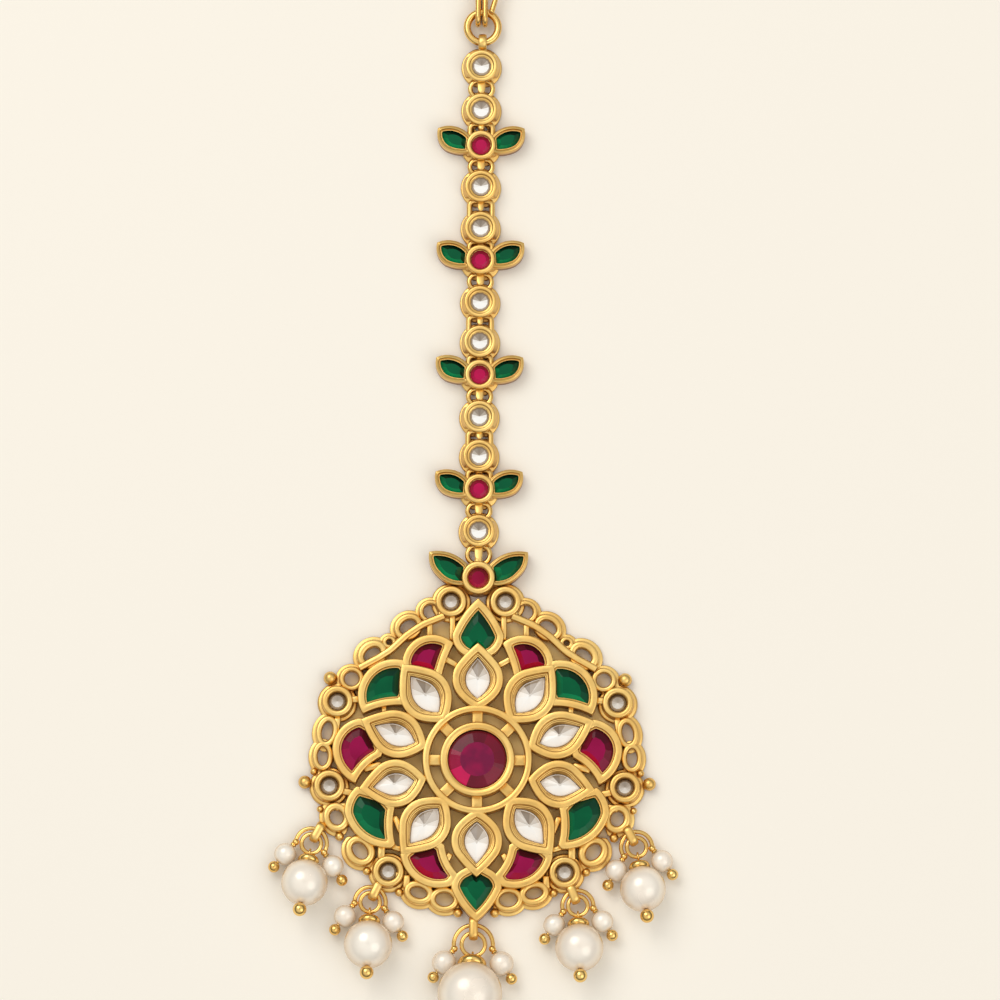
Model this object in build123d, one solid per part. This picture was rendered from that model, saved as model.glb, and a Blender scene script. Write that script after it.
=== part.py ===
from build123d import *
import math
import os

# A maang tikka, the forehead jewel that hangs on the parting of the hair, lying face up.
# Millimetres. The origin is under the middle of the medallion, on the plane the jewel lies on:
# +Y runs up the chain to the hair hook, and +Z comes out of the stone-set face.

# Driving dimensions: the heights of the metal's levels above the surface
BACK = 0.8            # closed back plate behind the stones
FLANGE_TOP = 0.6      # low flange round the medallion's border
BAR_LOW, BAR_HIGH = 0.5, 1.5     # tie bars
SPOKE_TOP = 1.8       # spokes of the rosette
LOOP_TOP = 1.9        # border loops
COLLET_TOP = 2.35     # round collets of the border and the chain
CELL_TOP = 2.6        # rims of the petals and the outer cells
BEZEL_TOP = 2.9       # bezel of the centre stone

RIM = 0.95            # width of a petal's or cell's rim
STEP, STEP_TOP = 0.5, 1.7        # ledge inside a petal's rim, round its stone
FIT = 0.09            # gap between a stone and its setting
FLANGE = 0.45         # how far the flange stands out of the border
FLANGE_FROM = 18.9    # the flange lies outside this radius

# Centre rosette
RUBY_R, RUBY_SIDES = 3.7, 16
BEZEL_IN, BEZEL_OUT = 3.8, 4.85
RING_IN, RING_OUT = 6.1, 7.1
SPOKE_COUNT, SPOKE_WIDTH = 8, 1.45

# Chain links and their joints
LINK_R, LEAF_LINK_R = 2.1, 1.93  # rim radius of a round link and of a leaf link's collet
LINK_HOLE_R, LINK_STONE_R = 1.15, 1.06
LEAF_TOP = 2.2        # rims of a link's leaves
LEAF_RIM = 0.42
FOOT_R, FOOT_TOP = 2.5, 0.5      # foot plate of a link, under the jump rings
FOOT_REACH = 2.05     # how far the plate goes along the chain where the next link leaves room
BODY_HALF = 1.35      # half of the link's body along the chain, under its round rim
NECK_TOP = 1.78       # underside of the rim where the joints pass
WIRE = 0.32           # radius of the jump rings' wire
SLACK = 0.12          # clearance of a wire in its eye
CURVE_SLACK = 0.12    # added where a tightly curved ring runs through a wide eye
EYE_WALL = 0.38       # thickness of an eye
WIDE_EYE, NARROW_EYE, TOP_EYE = 0.95, 0.7, 1.05     # widths of the eyes
JOINT_Z = 0.9         # height of the jump rings
JOINT_HALF = 1.45     # half-width of a jump ring, at its wire's middle
EYE_REACH = BODY_HALF + WIRE + SLACK     # from a link's middle to the wire in its eye

# Hair hook and top ring
HOOK_WIRE = 0.35
TOP_RING_R, TOP_RING_WIRE = 2.0, 0.48
TOP_RING_AT = (0.1, 95.6)
TOP_RING_Z = 2 * HOOK_WIRE + SLACK + TOP_RING_WIRE + 0.03
HOOK_LOW = HOOK_WIRE + 0.03
HOOK_HIGH = TOP_RING_Z + TOP_RING_WIRE + SLACK + HOOK_WIRE
SHANK_X, TWIN_X = -0.5, 0.4      # the two strands of the hook's doubled wire
COLLAR_FROM, COLLAR_LENGTH, COLLAR_R = 100.1, 1.4, 1.05

# One strand of the doubled wire, turned under the top ring, and the open hook that goes on from it
STRAND = (
    # y, z, bend radius at the row
    (100.6, 1.3, None),
    (98.9, HOOK_LOW, 0.5),
    (95.95, HOOK_LOW, (HOOK_HIGH - HOOK_LOW) / 2 - 0.01),
    (95.95, HOOK_HIGH, (HOOK_HIGH - HOOK_LOW) / 2 - 0.01),
    (99.2, HOOK_HIGH, 1.5),
    (101.0, 2.05, None),
)
BOW = (
    # x, y, z, bend radius at the row
    (SHANK_X, 101.0, 2.05, None),
    (SHANK_X, 113.5, 0.45, 1.9),
    (3.4, 113.5, 0.45, 1.9),
    (3.4, 105.0, 1.5, 6.0),
    (1.3, 97.6, HOOK_HIGH, None),
)

# Drops
DROP_WIRE = 0.22
LUG_WIDTH, LUG_WALL, LUG_ROOT = 1.05, 0.35, 0.5
PIN_R, PIN_HOLE_R = 0.2, 0.3
PIN_EYE_WIRE = 0.15   # wire of the eye on top of a headpin
CAP_GAP, CAP_WALL = 0.06, 0.34   # cup between a large pearl and its end ball
KNUCKLE_R = 0.35      # ball where a hanger turns down into its side pin
KNUCKLE_TO_PEARL = 0.65

# Cut stones: girdle height, table height, table's share of the outline
CUTS = {
    "centre": (2.2, 2.75, 0.6),
    "petal": (1.35, 1.85, 0.3),
    "outer": (1.9, 2.35, 0.55),
    "clear": (1.5, 1.9, 0.5),
    "link_ruby": (1.7, 2.1, 0.6),
    "link_leaf": (1.45, 1.9, 0.55),
    "motif_ruby": (2.1, 2.6, 0.6),
    "motif_leaf": (1.85, 2.3, 0.55),
}
PETAL_FACET, CELL_FACET, LEAF_FACET = 1.7, 1.5, 0.8      # lengths of the stones' side facets
SMALL_SIDES = 10      # sides of the small round stones

# Petals, left of the centre line and on it: tip, root, half-width
PETALS = (
    # tip x, tip y, root x, root y, half-width
    (0.0, 15.1, 0.0, 6.4, 3.3),
    (-9.8, 12.3, -4.0, 4.9, 3.3),
    (-15.0, 5.1, -6.5, 1.6, 3.05),
    (-15.2, -3.9, -6.5, -2.5, 3.1),
    (-9.7, -12.3, -4.0, -5.0, 3.25),
    (0.0, -15.2, 0.0, -6.4, 3.3),
)

# One side of a petal from its tip to its root: a soft point, a round belly and a blunt root
PETAL_SIDE = (
    # share of the length, share of the half-width, rise of the arc to the next row over the half-width
    (0.0, 0.0, 0.03),
    (0.277, 0.73, 0.255),
    (0.787, 0.76, 0.055),
)

# Outer cells, left of the centre line and on it. They tuck under the petals, which close them.
# Each row: x, y, rise of the arc to the next row (+ is to the left of travel)
CELLS = {
    "top_drop": ((0.0, 20.9, 0.35), (3.35, 16.1, 0.45), (1.7, 13.4, 0.0), (0.0, 12.4, 0.0),
                 (-1.7, 13.4, 0.45), (-3.35, 16.1, 0.35)),
    "upper_fan": ((-9.75, 12.0, 2.5), (-3.1, 15.0, -0.15), (-4.6, 10.8, 0.0), (-7.5, 9.0, 0.0)),
    "shoulder": ((-14.7, 5.8, 0.25), (-15.4, 8.6, 1.65), (-9.5, 12.8, 0.0), (-8.6, 11.5, 0.0),
                 (-8.6, 9.0, 0.0), (-9.6, 6.95, -0.35)),
    "flank": ((-15.6, -3.2, 0.75), (-18.6, 1.2, 1.05), (-14.9, 5.3, 0.0), (-12.8, 4.0, 0.0),
              (-12.0, 1.2, 0.0), (-12.3, 0.3, -0.45)),
    "hip": ((-10.9, -11.5, 1.35), (-17.0, -7.0, 0.45), (-15.4, -3.5, 0.0), (-12.0, -4.5, 0.0),
            (-10.5, -6.2, -0.3), (-10.4, -11.0, 0.0)),
    "lower_fan": ((-3.2, -16.3, 1.85), (-9.8, -12.2, 0.0), (-6.5, -9.5, 0.0), (-4.1, -11.0, -0.4),
                  (-2.2, -14.9, 0.0)),
    "bottom_drop": ((0.0, -20.9, 0.35), (-3.25, -16.6, 0.4), (-1.9, -14.2, 0.0), (0.0, -13.2, 0.0),
                    (1.9, -14.2, 0.4), (3.25, -16.6, 0.35)),
}
SIDE_CELLS = ("upper_fan", "shoulder", "flank", "hip", "lower_fan")

# Border loops on the left: middle, outer half-axes, hole's half-axes, turn of both
LOOPS = (
    # x, y, outer a, outer b, hole a, hole b, turn in degrees
    (-6.1, 19.2, 1.6, 1.55, 0.9, 0.9, 0),
    (-9.0, 17.2, 2.0, 1.75, 1.1, 0.8, 35),
    (-11.4, 15.2, 0.95, 0.85, 0.32, 0.32, 0),
    (-13.6, 13.6, 2.15, 1.85, 1.1, 0.75, 40),
    (-16.2, 10.45, 1.65, 1.6, 0.9, 0.9, 0),
    (-19.3, 3.6, 2.1, 1.5, 1.25, 0.65, 80),
    (-19.85, 0.4, 1.95, 1.4, 1.15, 0.62, 90),
    (-18.0, -7.45, 1.95, 1.8, 0.95, 0.8, 110),
    (-14.95, -11.75, 2.1, 1.9, 1.15, 0.8, 130),
    (-7.4, -17.1, 2.0, 1.6, 1.05, 0.65, -15),
    (-4.1, -17.95, 1.95, 1.6, 1.1, 0.85, -5),
)

# Round collets of the border, on the left: each holds a clear stone
COLLETS = ((-3.5, 20.45), (-18.0, 7.45), (-18.95, -3.45), (-11.3, -14.45))
COLLET_R, COLLET_HOLE_R, COLLET_STONE_R = 2.12, 1.2, 1.08

# Tie bars on the left: from, to, width
BARS = (
    # x, y, x, y, width
    (-4.3, 18.6, -9.0, 16.3, 1.0),
    (-9.0, 16.3, -12.6, 13.2, 1.0),
    (-12.6, 13.2, -15.2, 11.2, 1.0),
    (-3.3, 19.0, -3.3, 15.4, 0.8),
    (-6.2, 18.0, -6.2, 15.8, 0.8),
    (-2.6, 12.2, -4.6, 13.3, 0.8),
    (-12.0, 6.9, -12.0, 5.8, 0.7),
    (-15.2, 7.8, -16.6, 7.7, 0.9),
    (-17.9, 5.6, -18.4, 2.0, 0.9),
    (-12.2, -0.6, -14.6, -1.3, 0.9),
    (-15.8, -4.4, -18.0, -3.9, 0.9),
    (-16.6, -6.0, -18.2, -6.2, 0.9),
    (-10.6, -7.2, -9.6, -9.6, 0.8),
    (-12.2, -10.9, -12.2, -12.9, 1.0),
    (-10.9, -11.2, -9.6, -11.6, 0.7),
    (-8.9, -14.8, -9.0, -16.6, 0.9),
    (-9.4, -15.0, -10.4, -14.9, 0.9),
    (-3.3, -12.0, -4.2, -13.6, 0.8),
)

# Gold balls and grains on the left border: x, y, radius
GRAIN_MIDDLE = 0.75   # least height of a solder ball's middle
GRAINS = (
    (-18.95, 10.55, 0.88),
    (-22.1, -2.9, 0.85),
    (-20.95, -1.5, 0.5),
    (-20.1, -6.35, 0.45),
    (-17.6, -9.85, 0.6),
    (-14.05, -14.3, 0.55),
    (-9.9, -17.0, 0.55),
    (-2.35, -19.6, 0.6),
)

# Leaf ornament soldered on top of the medallion
MOTIF_Y = 23.5
MOTIF_EYE_Y = 25.5
MOTIF_R = 2.25
MOTIF_SEAT_R, MOTIF_RUBY_R = 1.5, 1.4

# A leaf of a link, from the link's middle: x, y, rise of the arc to the next row
LINK_LEAF = ((-5.6, 2.2, 0.78), (-1.3, 1.1, 0.0), (-1.5, -1.0, 0.25), (-4.5, -0.6, 0.5))
MOTIF_LEAF = ((-6.35, 3.35, 0.75), (-1.3, 1.6, 0.0), (-1.5, -0.9, 0.55), (-5.3, 0.35, 0.4))

# Links down the chain: kind, height above the medallion's middle
LINKS = (
    ("round", 90.4), ("round", 84.7), ("leaf", 80.0), ("round", 74.6), ("round", 69.2),
    ("leaf", 65.0), ("round", 59.5), ("round", 54.3), ("leaf", 50.0), ("round", 44.5),
    ("round", 39.4), ("leaf", 35.1), ("round", 29.65),
)

# Drops: ring, hanger, pearl and the two small pearls on the hanger's ends.
# Directions are in degrees, counted from +X.
DROPS = (
    dict(ring=(-21.2, -10.9), ring_r=1.25, hanger_r=2.0, lug_turn=62, pearl=(-22.0, -16.05), pearl_r=3.0,
         ends=(174, 326), pins=(229, 303), small_r=1.4),
    dict(ring=(-13.6, -18.4), ring_r=1.25, hanger_r=2.0, lug_turn=65, pearl=(-13.8, -23.95), pearl_r=3.1,
         ends=(183, 338), pins=(234, 303), small_r=1.4),
    dict(ring=(-0.35, -23.75), ring_r=1.5, hanger_r=2.5, lug_turn=90, pearl=(-0.75, -30.3), pearl_r=4.15,
         ends=(193, 347), pins=(234, 303), small_r=1.55),
    dict(ring=(13.0, -18.7), ring_r=1.25, hanger_r=2.0, lug_turn=112, pearl=(13.2, -24.2), pearl_r=3.1,
         ends=(202, 352), pins=(236, 305), small_r=1.4),
    dict(ring=(20.5, -11.1), ring_r=1.25, hanger_r=2.0, lug_turn=118, pearl=(21.3, -16.6), pearl_r=2.95,
         ends=(217, 356), pins=(241, 308), small_r=1.4),
)
BALL_R = 0.75         # ball on the end of a side pin
END_BALL_R = 0.9      # ball under a large pearl


def polar(centre, radius, degrees, z=0.0):
    turn = math.radians(degrees)
    return Vector(centre[0] + radius * math.cos(turn), centre[1] + radius * math.sin(turn), z)


def outline(rows):
    # closed face: each row's arc rises to the left of travel by its third column
    edges = []
    for (x, y, rise), (next_x, next_y, _) in zip(rows, rows[1:] + rows[:1]):
        start, end = Vector(x, y), Vector(next_x, next_y)
        run = end - start
        if rise:
            top = (start + end) * 0.5 + Vector(-run.Y, run.X).normalized() * rise
            edges.append(ThreePointArc(start, top, end))
        else:
            edges.append(Line(start, end))
    return Sketch() + Face(Wire(edges))


def mirrored(rows):
    return tuple((-x, y, -rise) for x, y, rise in rows)


def petal(tip_x, tip_y, root_x, root_y, half_width):
    # the side table is laid along the line from tip to root, and again backwards on the other side
    tip, run = Vector(tip_x, tip_y), Vector(root_x - tip_x, root_y - tip_y)
    across = Vector(-run.Y, run.X).normalized() * half_width

    def place(share, width, rise):
        point = tip + run * share + across * width
        return point.X, point.Y, rise * half_width

    side = [place(*row) for row in PETAL_SIDE]
    back = [place(PETAL_SIDE[k][0], -PETAL_SIDE[k][1], PETAL_SIDE[k - 1][2]) for k in (2, 1)]
    root = (root_x, root_y, PETAL_SIDE[2][2] * half_width)
    return outline(tuple(side + [root] + back))


def both_sides(rows, mirrored_columns=(0,)):
    # rows on the centre line stay single, the others are repeated on the right
    def flip(row):
        return tuple(-value if column in mirrored_columns else value for column, value in enumerate(row))

    return list(rows) + [flip(row) for row in rows if row[0] != 0]


def joined(faces):
    whole = Sketch()
    for face in faces:
        whole += face
    return whole


def inset(face, width):
    return offset(face, -width, kind=Kind.ARC)


def slab(face, low, high):
    return extrude(Pos(0, 0, low) * face, high - low, dir=(0, 0, 1))


def tilted(x, y, a, b, turn):
    return Pos(x, y) * Rot(0, 0, turn) * Ellipse(a, b)


def bar(x, y, to_x, to_y, width):
    run = Vector(to_x - x, to_y - y)
    turn = math.degrees(math.atan2(run.Y, run.X))
    return Pos((x + to_x) / 2, (y + to_y) / 2) * Rot(0, 0, turn) * Rectangle(run.length, width)


def post(radius, height):
    return Cylinder(radius, height, align=(Align.CENTER, Align.CENTER, Align.MIN))


def rod(start, end, radius):
    run = end - start
    return Plane(origin=start, z_dir=run) * post(radius, run.length)


def ball(centre, radius):
    return Pos(centre.X, centre.Y, centre.Z) * Sphere(radius)


def wire(points, radii, radius, closed=False):
    path = FilletPolyline(*points, radius=radii, close=closed)
    start = Plane(origin=path @ 0, z_dir=path % 0)
    return sweep(start * Circle(radius), path=path)


def arc_wire(centre, ring_radius, from_turn, span, z):
    section = Plane.XZ * Pos(ring_radius, 0) * Circle(DROP_WIRE)
    solid = revolve(section, Axis.Z, revolution_arc=span)
    return Pos(centre[0], centre[1], z) * Rot(0, 0, from_turn) * solid


def torus(centre, z, ring_radius, radius):
    return Pos(centre[0], centre[1], z) * Torus(ring_radius, radius)


def polygon_of(face, spacing):
    # corners of a stone: the ends of the opening's edges, with long edges divided evenly
    points = []
    for edge in face.outer_wire().order_edges():
        count = max(1, round(edge.length / spacing))
        points += [edge.position_at(step / count) for step in range(count)]
    return points


def cut_stone(points, cut):
    # straight girdle, a slanted facet on each side of the outline, and a flat table on top
    girdle, table_z, table_share = CUTS[cut]
    middle = sum(points, Vector()) / len(points)

    def ring(share, z):
        corners = [middle + (point - middle) * share for point in points]
        return Face(Wire.make_polygon([(c.X, c.Y, z) for c in corners], close=True))

    return loft([ring(1.0, BACK + FIT), ring(1.0, girdle), ring(table_share, table_z)], ruled=True)


def round_stone(x, y, radius, cut, sides=SMALL_SIDES):
    return cut_stone([polar((x, y), radius, 360 * (k + 0.5) / sides) for k in range(sides)], cut)


def drop_lug(drop):
    # upright loop standing along its turn, from the frame over the hanger and the ring:
    # its outer stadium and its hole
    def stadium(low, high, half):
        return Pos((low + high) / 2, 0) * SlotOverall(high - low, 2 * half)

    along = polar((0, 0), 1, drop["lug_turn"])
    plane = Plane(origin=(*drop["ring"], drop["small_r"]), x_dir=along, z_dir=(along.Y, -along.X, 0))
    near = drop["ring_r"] - DROP_WIRE - SLACK - CURVE_SLACK
    far = drop["hanger_r"] + DROP_WIRE + SLACK
    half = DROP_WIRE + SLACK
    outer = stadium(near - LUG_WALL, far + LUG_WALL + LUG_ROOT, half + LUG_WALL)
    return (extrude(plane * outer, LUG_WIDTH / 2, both=True),
            extrude(plane * stadium(near, far, half), 2 * LUG_WIDTH, both=True))


def joint_eye(x, y, width, radius=WIRE, wall=EYE_WALL, z=JOINT_Z):
    # upright round eye across the chain: what a jump ring's end passes through
    turned = Pos(x, y, z) * Rot(0, 90, 0)
    outer = turned * Cylinder(radius + SLACK + wall, width)
    hole = turned * Cylinder(radius + SLACK, 2 * width)
    return outer, hole


def joint_ring(low_y, high_y, half):
    # flat jump ring: a rounded rectangle of wire through one eye of each neighbour
    corner = min(half, (high_y - low_y) / 2) - 0.02
    run = ((-half, high_y), (-half, low_y), (half, low_y), (half, high_y))
    return wire([(x, y, JOINT_Z) for x, y in run], corner, WIRE, closed=True)


def joint_staple(base_y, high_y, half):
    # bent wire soldered into the lower link, its bight in the eye of the upper one
    run = ((-half, base_y), (-half, high_y), (half, high_y), (half, base_y))
    return wire([(x, y, JOINT_Z) for x, y in run], 0.6, WIRE)


def beyond(y, side, reach, top):
    # block past a wall that stands at the given reach from a link's middle, up or down the chain
    return Pos(0, y + side * (reach + 2), top / 2) * Box(8, 4, top)


def collet(y, radius, foot_reaches):
    # round cup on a foot plate, cut flat under its rim where the joints pass
    foot, cup = Pos(0, y, 0) * post(FOOT_R, FOOT_TOP), Pos(0, y, 0) * post(radius, COLLET_TOP)
    for side, reach in zip((1, -1), foot_reaches):
        foot -= beyond(y, side, reach, 2 * FOOT_TOP)
        cup -= beyond(y, side, BODY_HALF, NECK_TOP)
    return foot + cup


def collet_hole(x, y, hole):
    # straight seat for the stone, opening to a slanted lip
    lip = Cone(hole, hole + 0.3, 0.36, align=(Align.CENTER, Align.CENTER, Align.MIN))
    return Pos(x, y, BACK) * post(hole, COLLET_TOP) + Pos(x, y, COLLET_TOP - 0.35) * lip


def leaf_pair(rows, y):
    for table in (rows, mirrored(rows)):
        yield Pos(0, y) * outline(table)


def leaf_cups(rows, y, top):
    # a pair of leaves on the collet's sides, each hollowed for its stone
    metal, hollow = None, None
    for leaf in leaf_pair(rows, y):
        solid, well = slab(leaf, 0, top), slab(inset(leaf, LEAF_RIM), BACK, top + 1)
        metal = solid if metal is None else metal + solid
        hollow = well if hollow is None else hollow + well
    return metal, hollow


def leaf_stones(rows, y, cut, collet_r):
    core = Pos(0, y) * Circle(collet_r + FIT)
    shapes = [inset(leaf, LEAF_RIM + FIT) - core for leaf in leaf_pair(rows, y)]
    return [cut_stone(polygon_of(shape.faces()[0], LEAF_FACET), cut) for shape in shapes]


def link(index):
    kind, y = LINKS[index]
    radius = LINK_R if kind == "round" else LEAF_LINK_R
    solid = collet(y, radius, foot_reaches(index))
    if kind == "leaf":
        metal, hollow = leaf_cups(LINK_LEAF, y, LEAF_TOP)
        body = Pos(0, y, 0) * Cylinder(radius, 3 * COLLET_TOP)
        solid = solid + (metal - hollow - body)
    holes = []
    for side, joint in ((1, index), (-1, index + 1)):
        wide = is_wide(joint)
        if joint == 0 or (side == 1 and not wide):
            continue
        eye, hole = joint_eye(0, y + side * EYE_REACH, WIDE_EYE if wide else NARROW_EYE)
        solid += eye
        holes.append(hole)
    if index == 0:
        eye, hole = joint_eye(TOP_RING_AT[0], TOP_RING_AT[1] - TOP_RING_R, TOP_EYE,
                              TOP_RING_WIRE + CURVE_SLACK, 0.4, TOP_RING_Z)
        neck = Pos(TOP_RING_AT[0], y + 1.7, TOP_RING_Z - 0.25) * Box(TOP_EYE, 1.9, 1.3)
        solid += eye + neck
        holes.append(hole)
    elif not is_wide(index):
        solid += joint_staple(y + 1.0, LINKS[index - 1][1] - EYE_REACH, JOINT_HALF)
    for hole in holes:
        solid -= hole
    return solid - collet_hole(0, y, LINK_HOLE_R)


def foot_reaches(index):
    # the foot stops short of the eye that the next link reaches out with
    y = LINKS[index][1]
    eye_end = EYE_REACH + WIRE + SLACK + EYE_WALL
    above = TOP_RING_AT[1] if index == 0 else LINKS[index - 1][1] - eye_end
    below = MOTIF_Y + MOTIF_R if index == len(LINKS) - 1 else LINKS[index + 1][1] + eye_end
    return [min(FOOT_REACH, gap - SLACK) for gap in (above - y, y - below)]


def is_wide(joint):
    # joint k is above link k: the wide ones have a jump ring of their own, and show it
    if joint in (0, 1, len(LINKS)):
        return True
    return LINKS[joint - 1][0] == "leaf"


def joint_span(joint):
    upper = LINKS[joint - 1][1] - EYE_REACH
    lower = MOTIF_EYE_Y if joint == len(LINKS) else LINKS[joint][1] + EYE_REACH
    return lower, upper


def chain_rings():
    wide = [joint for joint in range(1, len(LINKS) + 1) if is_wide(joint)]
    return [joint_ring(*joint_span(joint), JOINT_HALF) for joint in wide]


def frame_faces():
    petals = [petal(*row) for row in both_sides(PETALS, (0, 2))]
    cells = {name: outline(rows) for name, rows in CELLS.items()}
    for name in SIDE_CELLS:
        cells[name + "_right"] = outline(mirrored(CELLS[name]))
    return petals, cells


def cell_openings(petals, cells):
    cover = joined(petals)
    return {name: inset(face, RIM) - cover for name, face in cells.items()}


def grain(x, y, radius):
    # solder ball in the border, turned so that its seam is on the free side
    outward = math.degrees(math.atan2(y, x))
    return Pos(x, y, max(radius, GRAIN_MIDDLE)) * Rot(0, 0, outward) * Sphere(radius)


def medallion(petals, cells, openings):
    rims = joined(petals + list(cells.values()))
    seats = joined([inset(face, RIM + STEP) for face in petals] + list(openings.values()))
    mouths = joined([inset(face, RIM) for face in petals])
    solid = slab(rims - Circle(RING_IN), 0, CELL_TOP)
    solid = solid - slab(seats, BACK, CELL_TOP + 1) - slab(mouths, STEP_TOP, CELL_TOP + 1)

    ring = Circle(RING_OUT) - Circle(RING_IN)
    bezel = Circle(BEZEL_OUT)
    solid += slab(ring, 0, CELL_TOP) + slab(bezel, 0, BEZEL_TOP)
    solid -= slab(Circle(BEZEL_IN), BACK, BEZEL_TOP + 1)
    spoke = Pos((BEZEL_OUT + RING_IN) / 2, 0, SPOKE_TOP / 2) * Box(1.6, SPOKE_WIDTH, SPOKE_TOP)
    solid += [Rot(0, 0, 360 * k / SPOKE_COUNT) * spoke for k in range(SPOKE_COUNT)]

    loops = both_sides(LOOPS, (0, 6))
    border = [tilted(*row[:4], row[6]) for row in loops]
    loop_holes = [tilted(*row[:2], *row[4:7]) for row in loops]
    collets = both_sides(COLLETS)
    cups = [Pos(x, y) * Circle(COLLET_R) for x, y in collets]
    skirt = [tilted(x, y, a + FLANGE, b + FLANGE, turn) for x, y, a, b, _, _, turn in loops]
    skirt += [Pos(x, y) * Circle(COLLET_R + FLANGE) for x, y in collets]
    keep_out = joined([inset(face, RIM / 2) for face in petals + list(cells.values())])
    solid += slab(joined(skirt) - Circle(FLANGE_FROM), 0, FLANGE_TOP)
    solid += slab(joined(border) - keep_out, 0, LOOP_TOP) + slab(joined(cups), 0, COLLET_TOP)
    ties = [bar(*row) for row in BARS] + [bar(-x, y, -to_x, to_y, w) for x, y, to_x, to_y, w in BARS]
    solid += slab(joined(ties) - keep_out, BAR_LOW, BAR_HIGH)
    solid -= slab(joined(loop_holes), -1, CELL_TOP + 1)
    solid -= [collet_hole(x, y, COLLET_HOLE_R) for x, y in collets]
    return solid + [grain(*row) for row in both_sides(GRAINS)]


def motif(solid):
    # pair of leaves round a ruby collet, with the chain's last eye
    metal, hollow = leaf_cups(MOTIF_LEAF, MOTIF_Y, CELL_TOP)
    cup = slab(Pos(0, MOTIF_Y) * Circle(MOTIF_R), 0, CELL_TOP + 0.2)
    solid = solid + metal + cup
    wall_y = MOTIF_EYE_Y - WIRE - SLACK
    solid -= Pos(0, wall_y + 1, NECK_TOP / 2) * Box(4.6, 2, NECK_TOP)
    eye, hole = joint_eye(0, MOTIF_EYE_Y, WIDE_EYE)
    wells = hollow - slab(Pos(0, MOTIF_Y) * Circle(MOTIF_R), -1, 2 * CELL_TOP)
    seat = slab(Pos(0, MOTIF_Y) * Circle(MOTIF_SEAT_R), BACK, 2 * CELL_TOP)
    return solid + eye - [hole, wells, seat]


def drop_lugs(solid):
    lugs, holes = zip(*(drop_lug(drop) for drop in DROPS))
    return solid + list(lugs) - list(holes)


def drop_points(drop):
    # eye of the pin on its ring, the pearl's middle, the pin's run and the same run laid flat
    z = drop["small_r"]
    ring = Vector(*drop["ring"], z)
    pearl = Vector(*drop["pearl"], drop["pearl_r"])
    flat = Vector(pearl.X - ring.X, pearl.Y - ring.Y).normalized()
    eye = ring + flat * drop["ring_r"]
    return eye, pearl, (pearl - eye).normalized(), flat


def drop_pin(drop):
    # eye, rod, cap over the pearl and end ball: one soldered headpin
    eye, pearl, run, flat = drop_points(drop)
    eye_r = DROP_WIRE + SLACK + PIN_EYE_WIRE
    loop = Plane(origin=eye, z_dir=(flat.Y, -flat.X, 0)) * Torus(eye_r, PIN_EYE_WIRE)
    end = pearl + run * (drop["pearl_r"] + END_BALL_R + 0.02)
    solid = rod(eye + run * eye_r, end, PIN_R) + loop + ball(end, END_BALL_R)
    inner = drop["pearl_r"] + CAP_GAP
    shell = ball(pearl, inner + CAP_WALL) - ball(pearl, inner)
    keep = rod(pearl - run * (inner + 1), pearl, 0.42 * drop["pearl_r"] + 0.15)
    return solid + (shell & keep)


def large_pearl(drop):
    _, pearl, run, _ = drop_points(drop)
    reach = run * (drop["pearl_r"] + 1)
    return ball(pearl, drop["pearl_r"]) - rod(pearl - reach, pearl + reach, PIN_HOLE_R)


def side_pins(drop):
    # the two straight ends of the hanger: where each starts, its small pearl and its ball
    radius = drop["small_r"]
    for end_turn, pin_turn in zip(drop["ends"], drop["pins"]):
        start = polar(drop["ring"], drop["hanger_r"], end_turn, radius)
        run = polar((0, 0), 1, pin_turn)
        pearl = start + run * (KNUCKLE_TO_PEARL + radius)
        yield start, pearl, pearl + run * (radius + BALL_R + 0.04)


def drop_hanger(drop):
    # open hoop behind the ring, with a headpin for a small pearl on each end
    first, last = drop["ends"]
    solid = arc_wire(drop["ring"], drop["hanger_r"], last - 360, first - last + 360, drop["small_r"])
    for start, _, end in side_pins(drop):
        solid += ball(start, KNUCKLE_R) + rod(start, end, PIN_R) + ball(end, BALL_R)
    return solid


def small_pearls():
    pearls = []
    for drop in DROPS:
        for start, pearl, end in side_pins(drop):
            pearls.append(ball(pearl, drop["small_r"]) - rod(start, end, PIN_HOLE_R))
    return pearls


def hair_hook():
    # doubled wire through the top ring, a collar, and an open hook lying beside its shank
    solid = Pos((SHANK_X + TWIN_X) / 2, COLLAR_FROM, 1.65) * Rot(-90, 0, 0) * post(COLLAR_R, COLLAR_LENGTH)
    bends = [row[-1] for row in STRAND if row[-1]]
    for x in (SHANK_X, TWIN_X):
        solid += wire([(x, y, z) for y, z, _ in STRAND], bends, HOOK_WIRE)
    return solid + wire([row[:3] for row in BOW], [row[-1] for row in BOW if row[-1]], HOOK_WIRE)


def save(name, solids):
    # one solid, or a list of loose ones in one node
    if isinstance(solids, list):
        solids = Compound(children=[s for item in solids for s in item.solids()])
    export_step(solids, f"parts/{name}.step")


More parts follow.
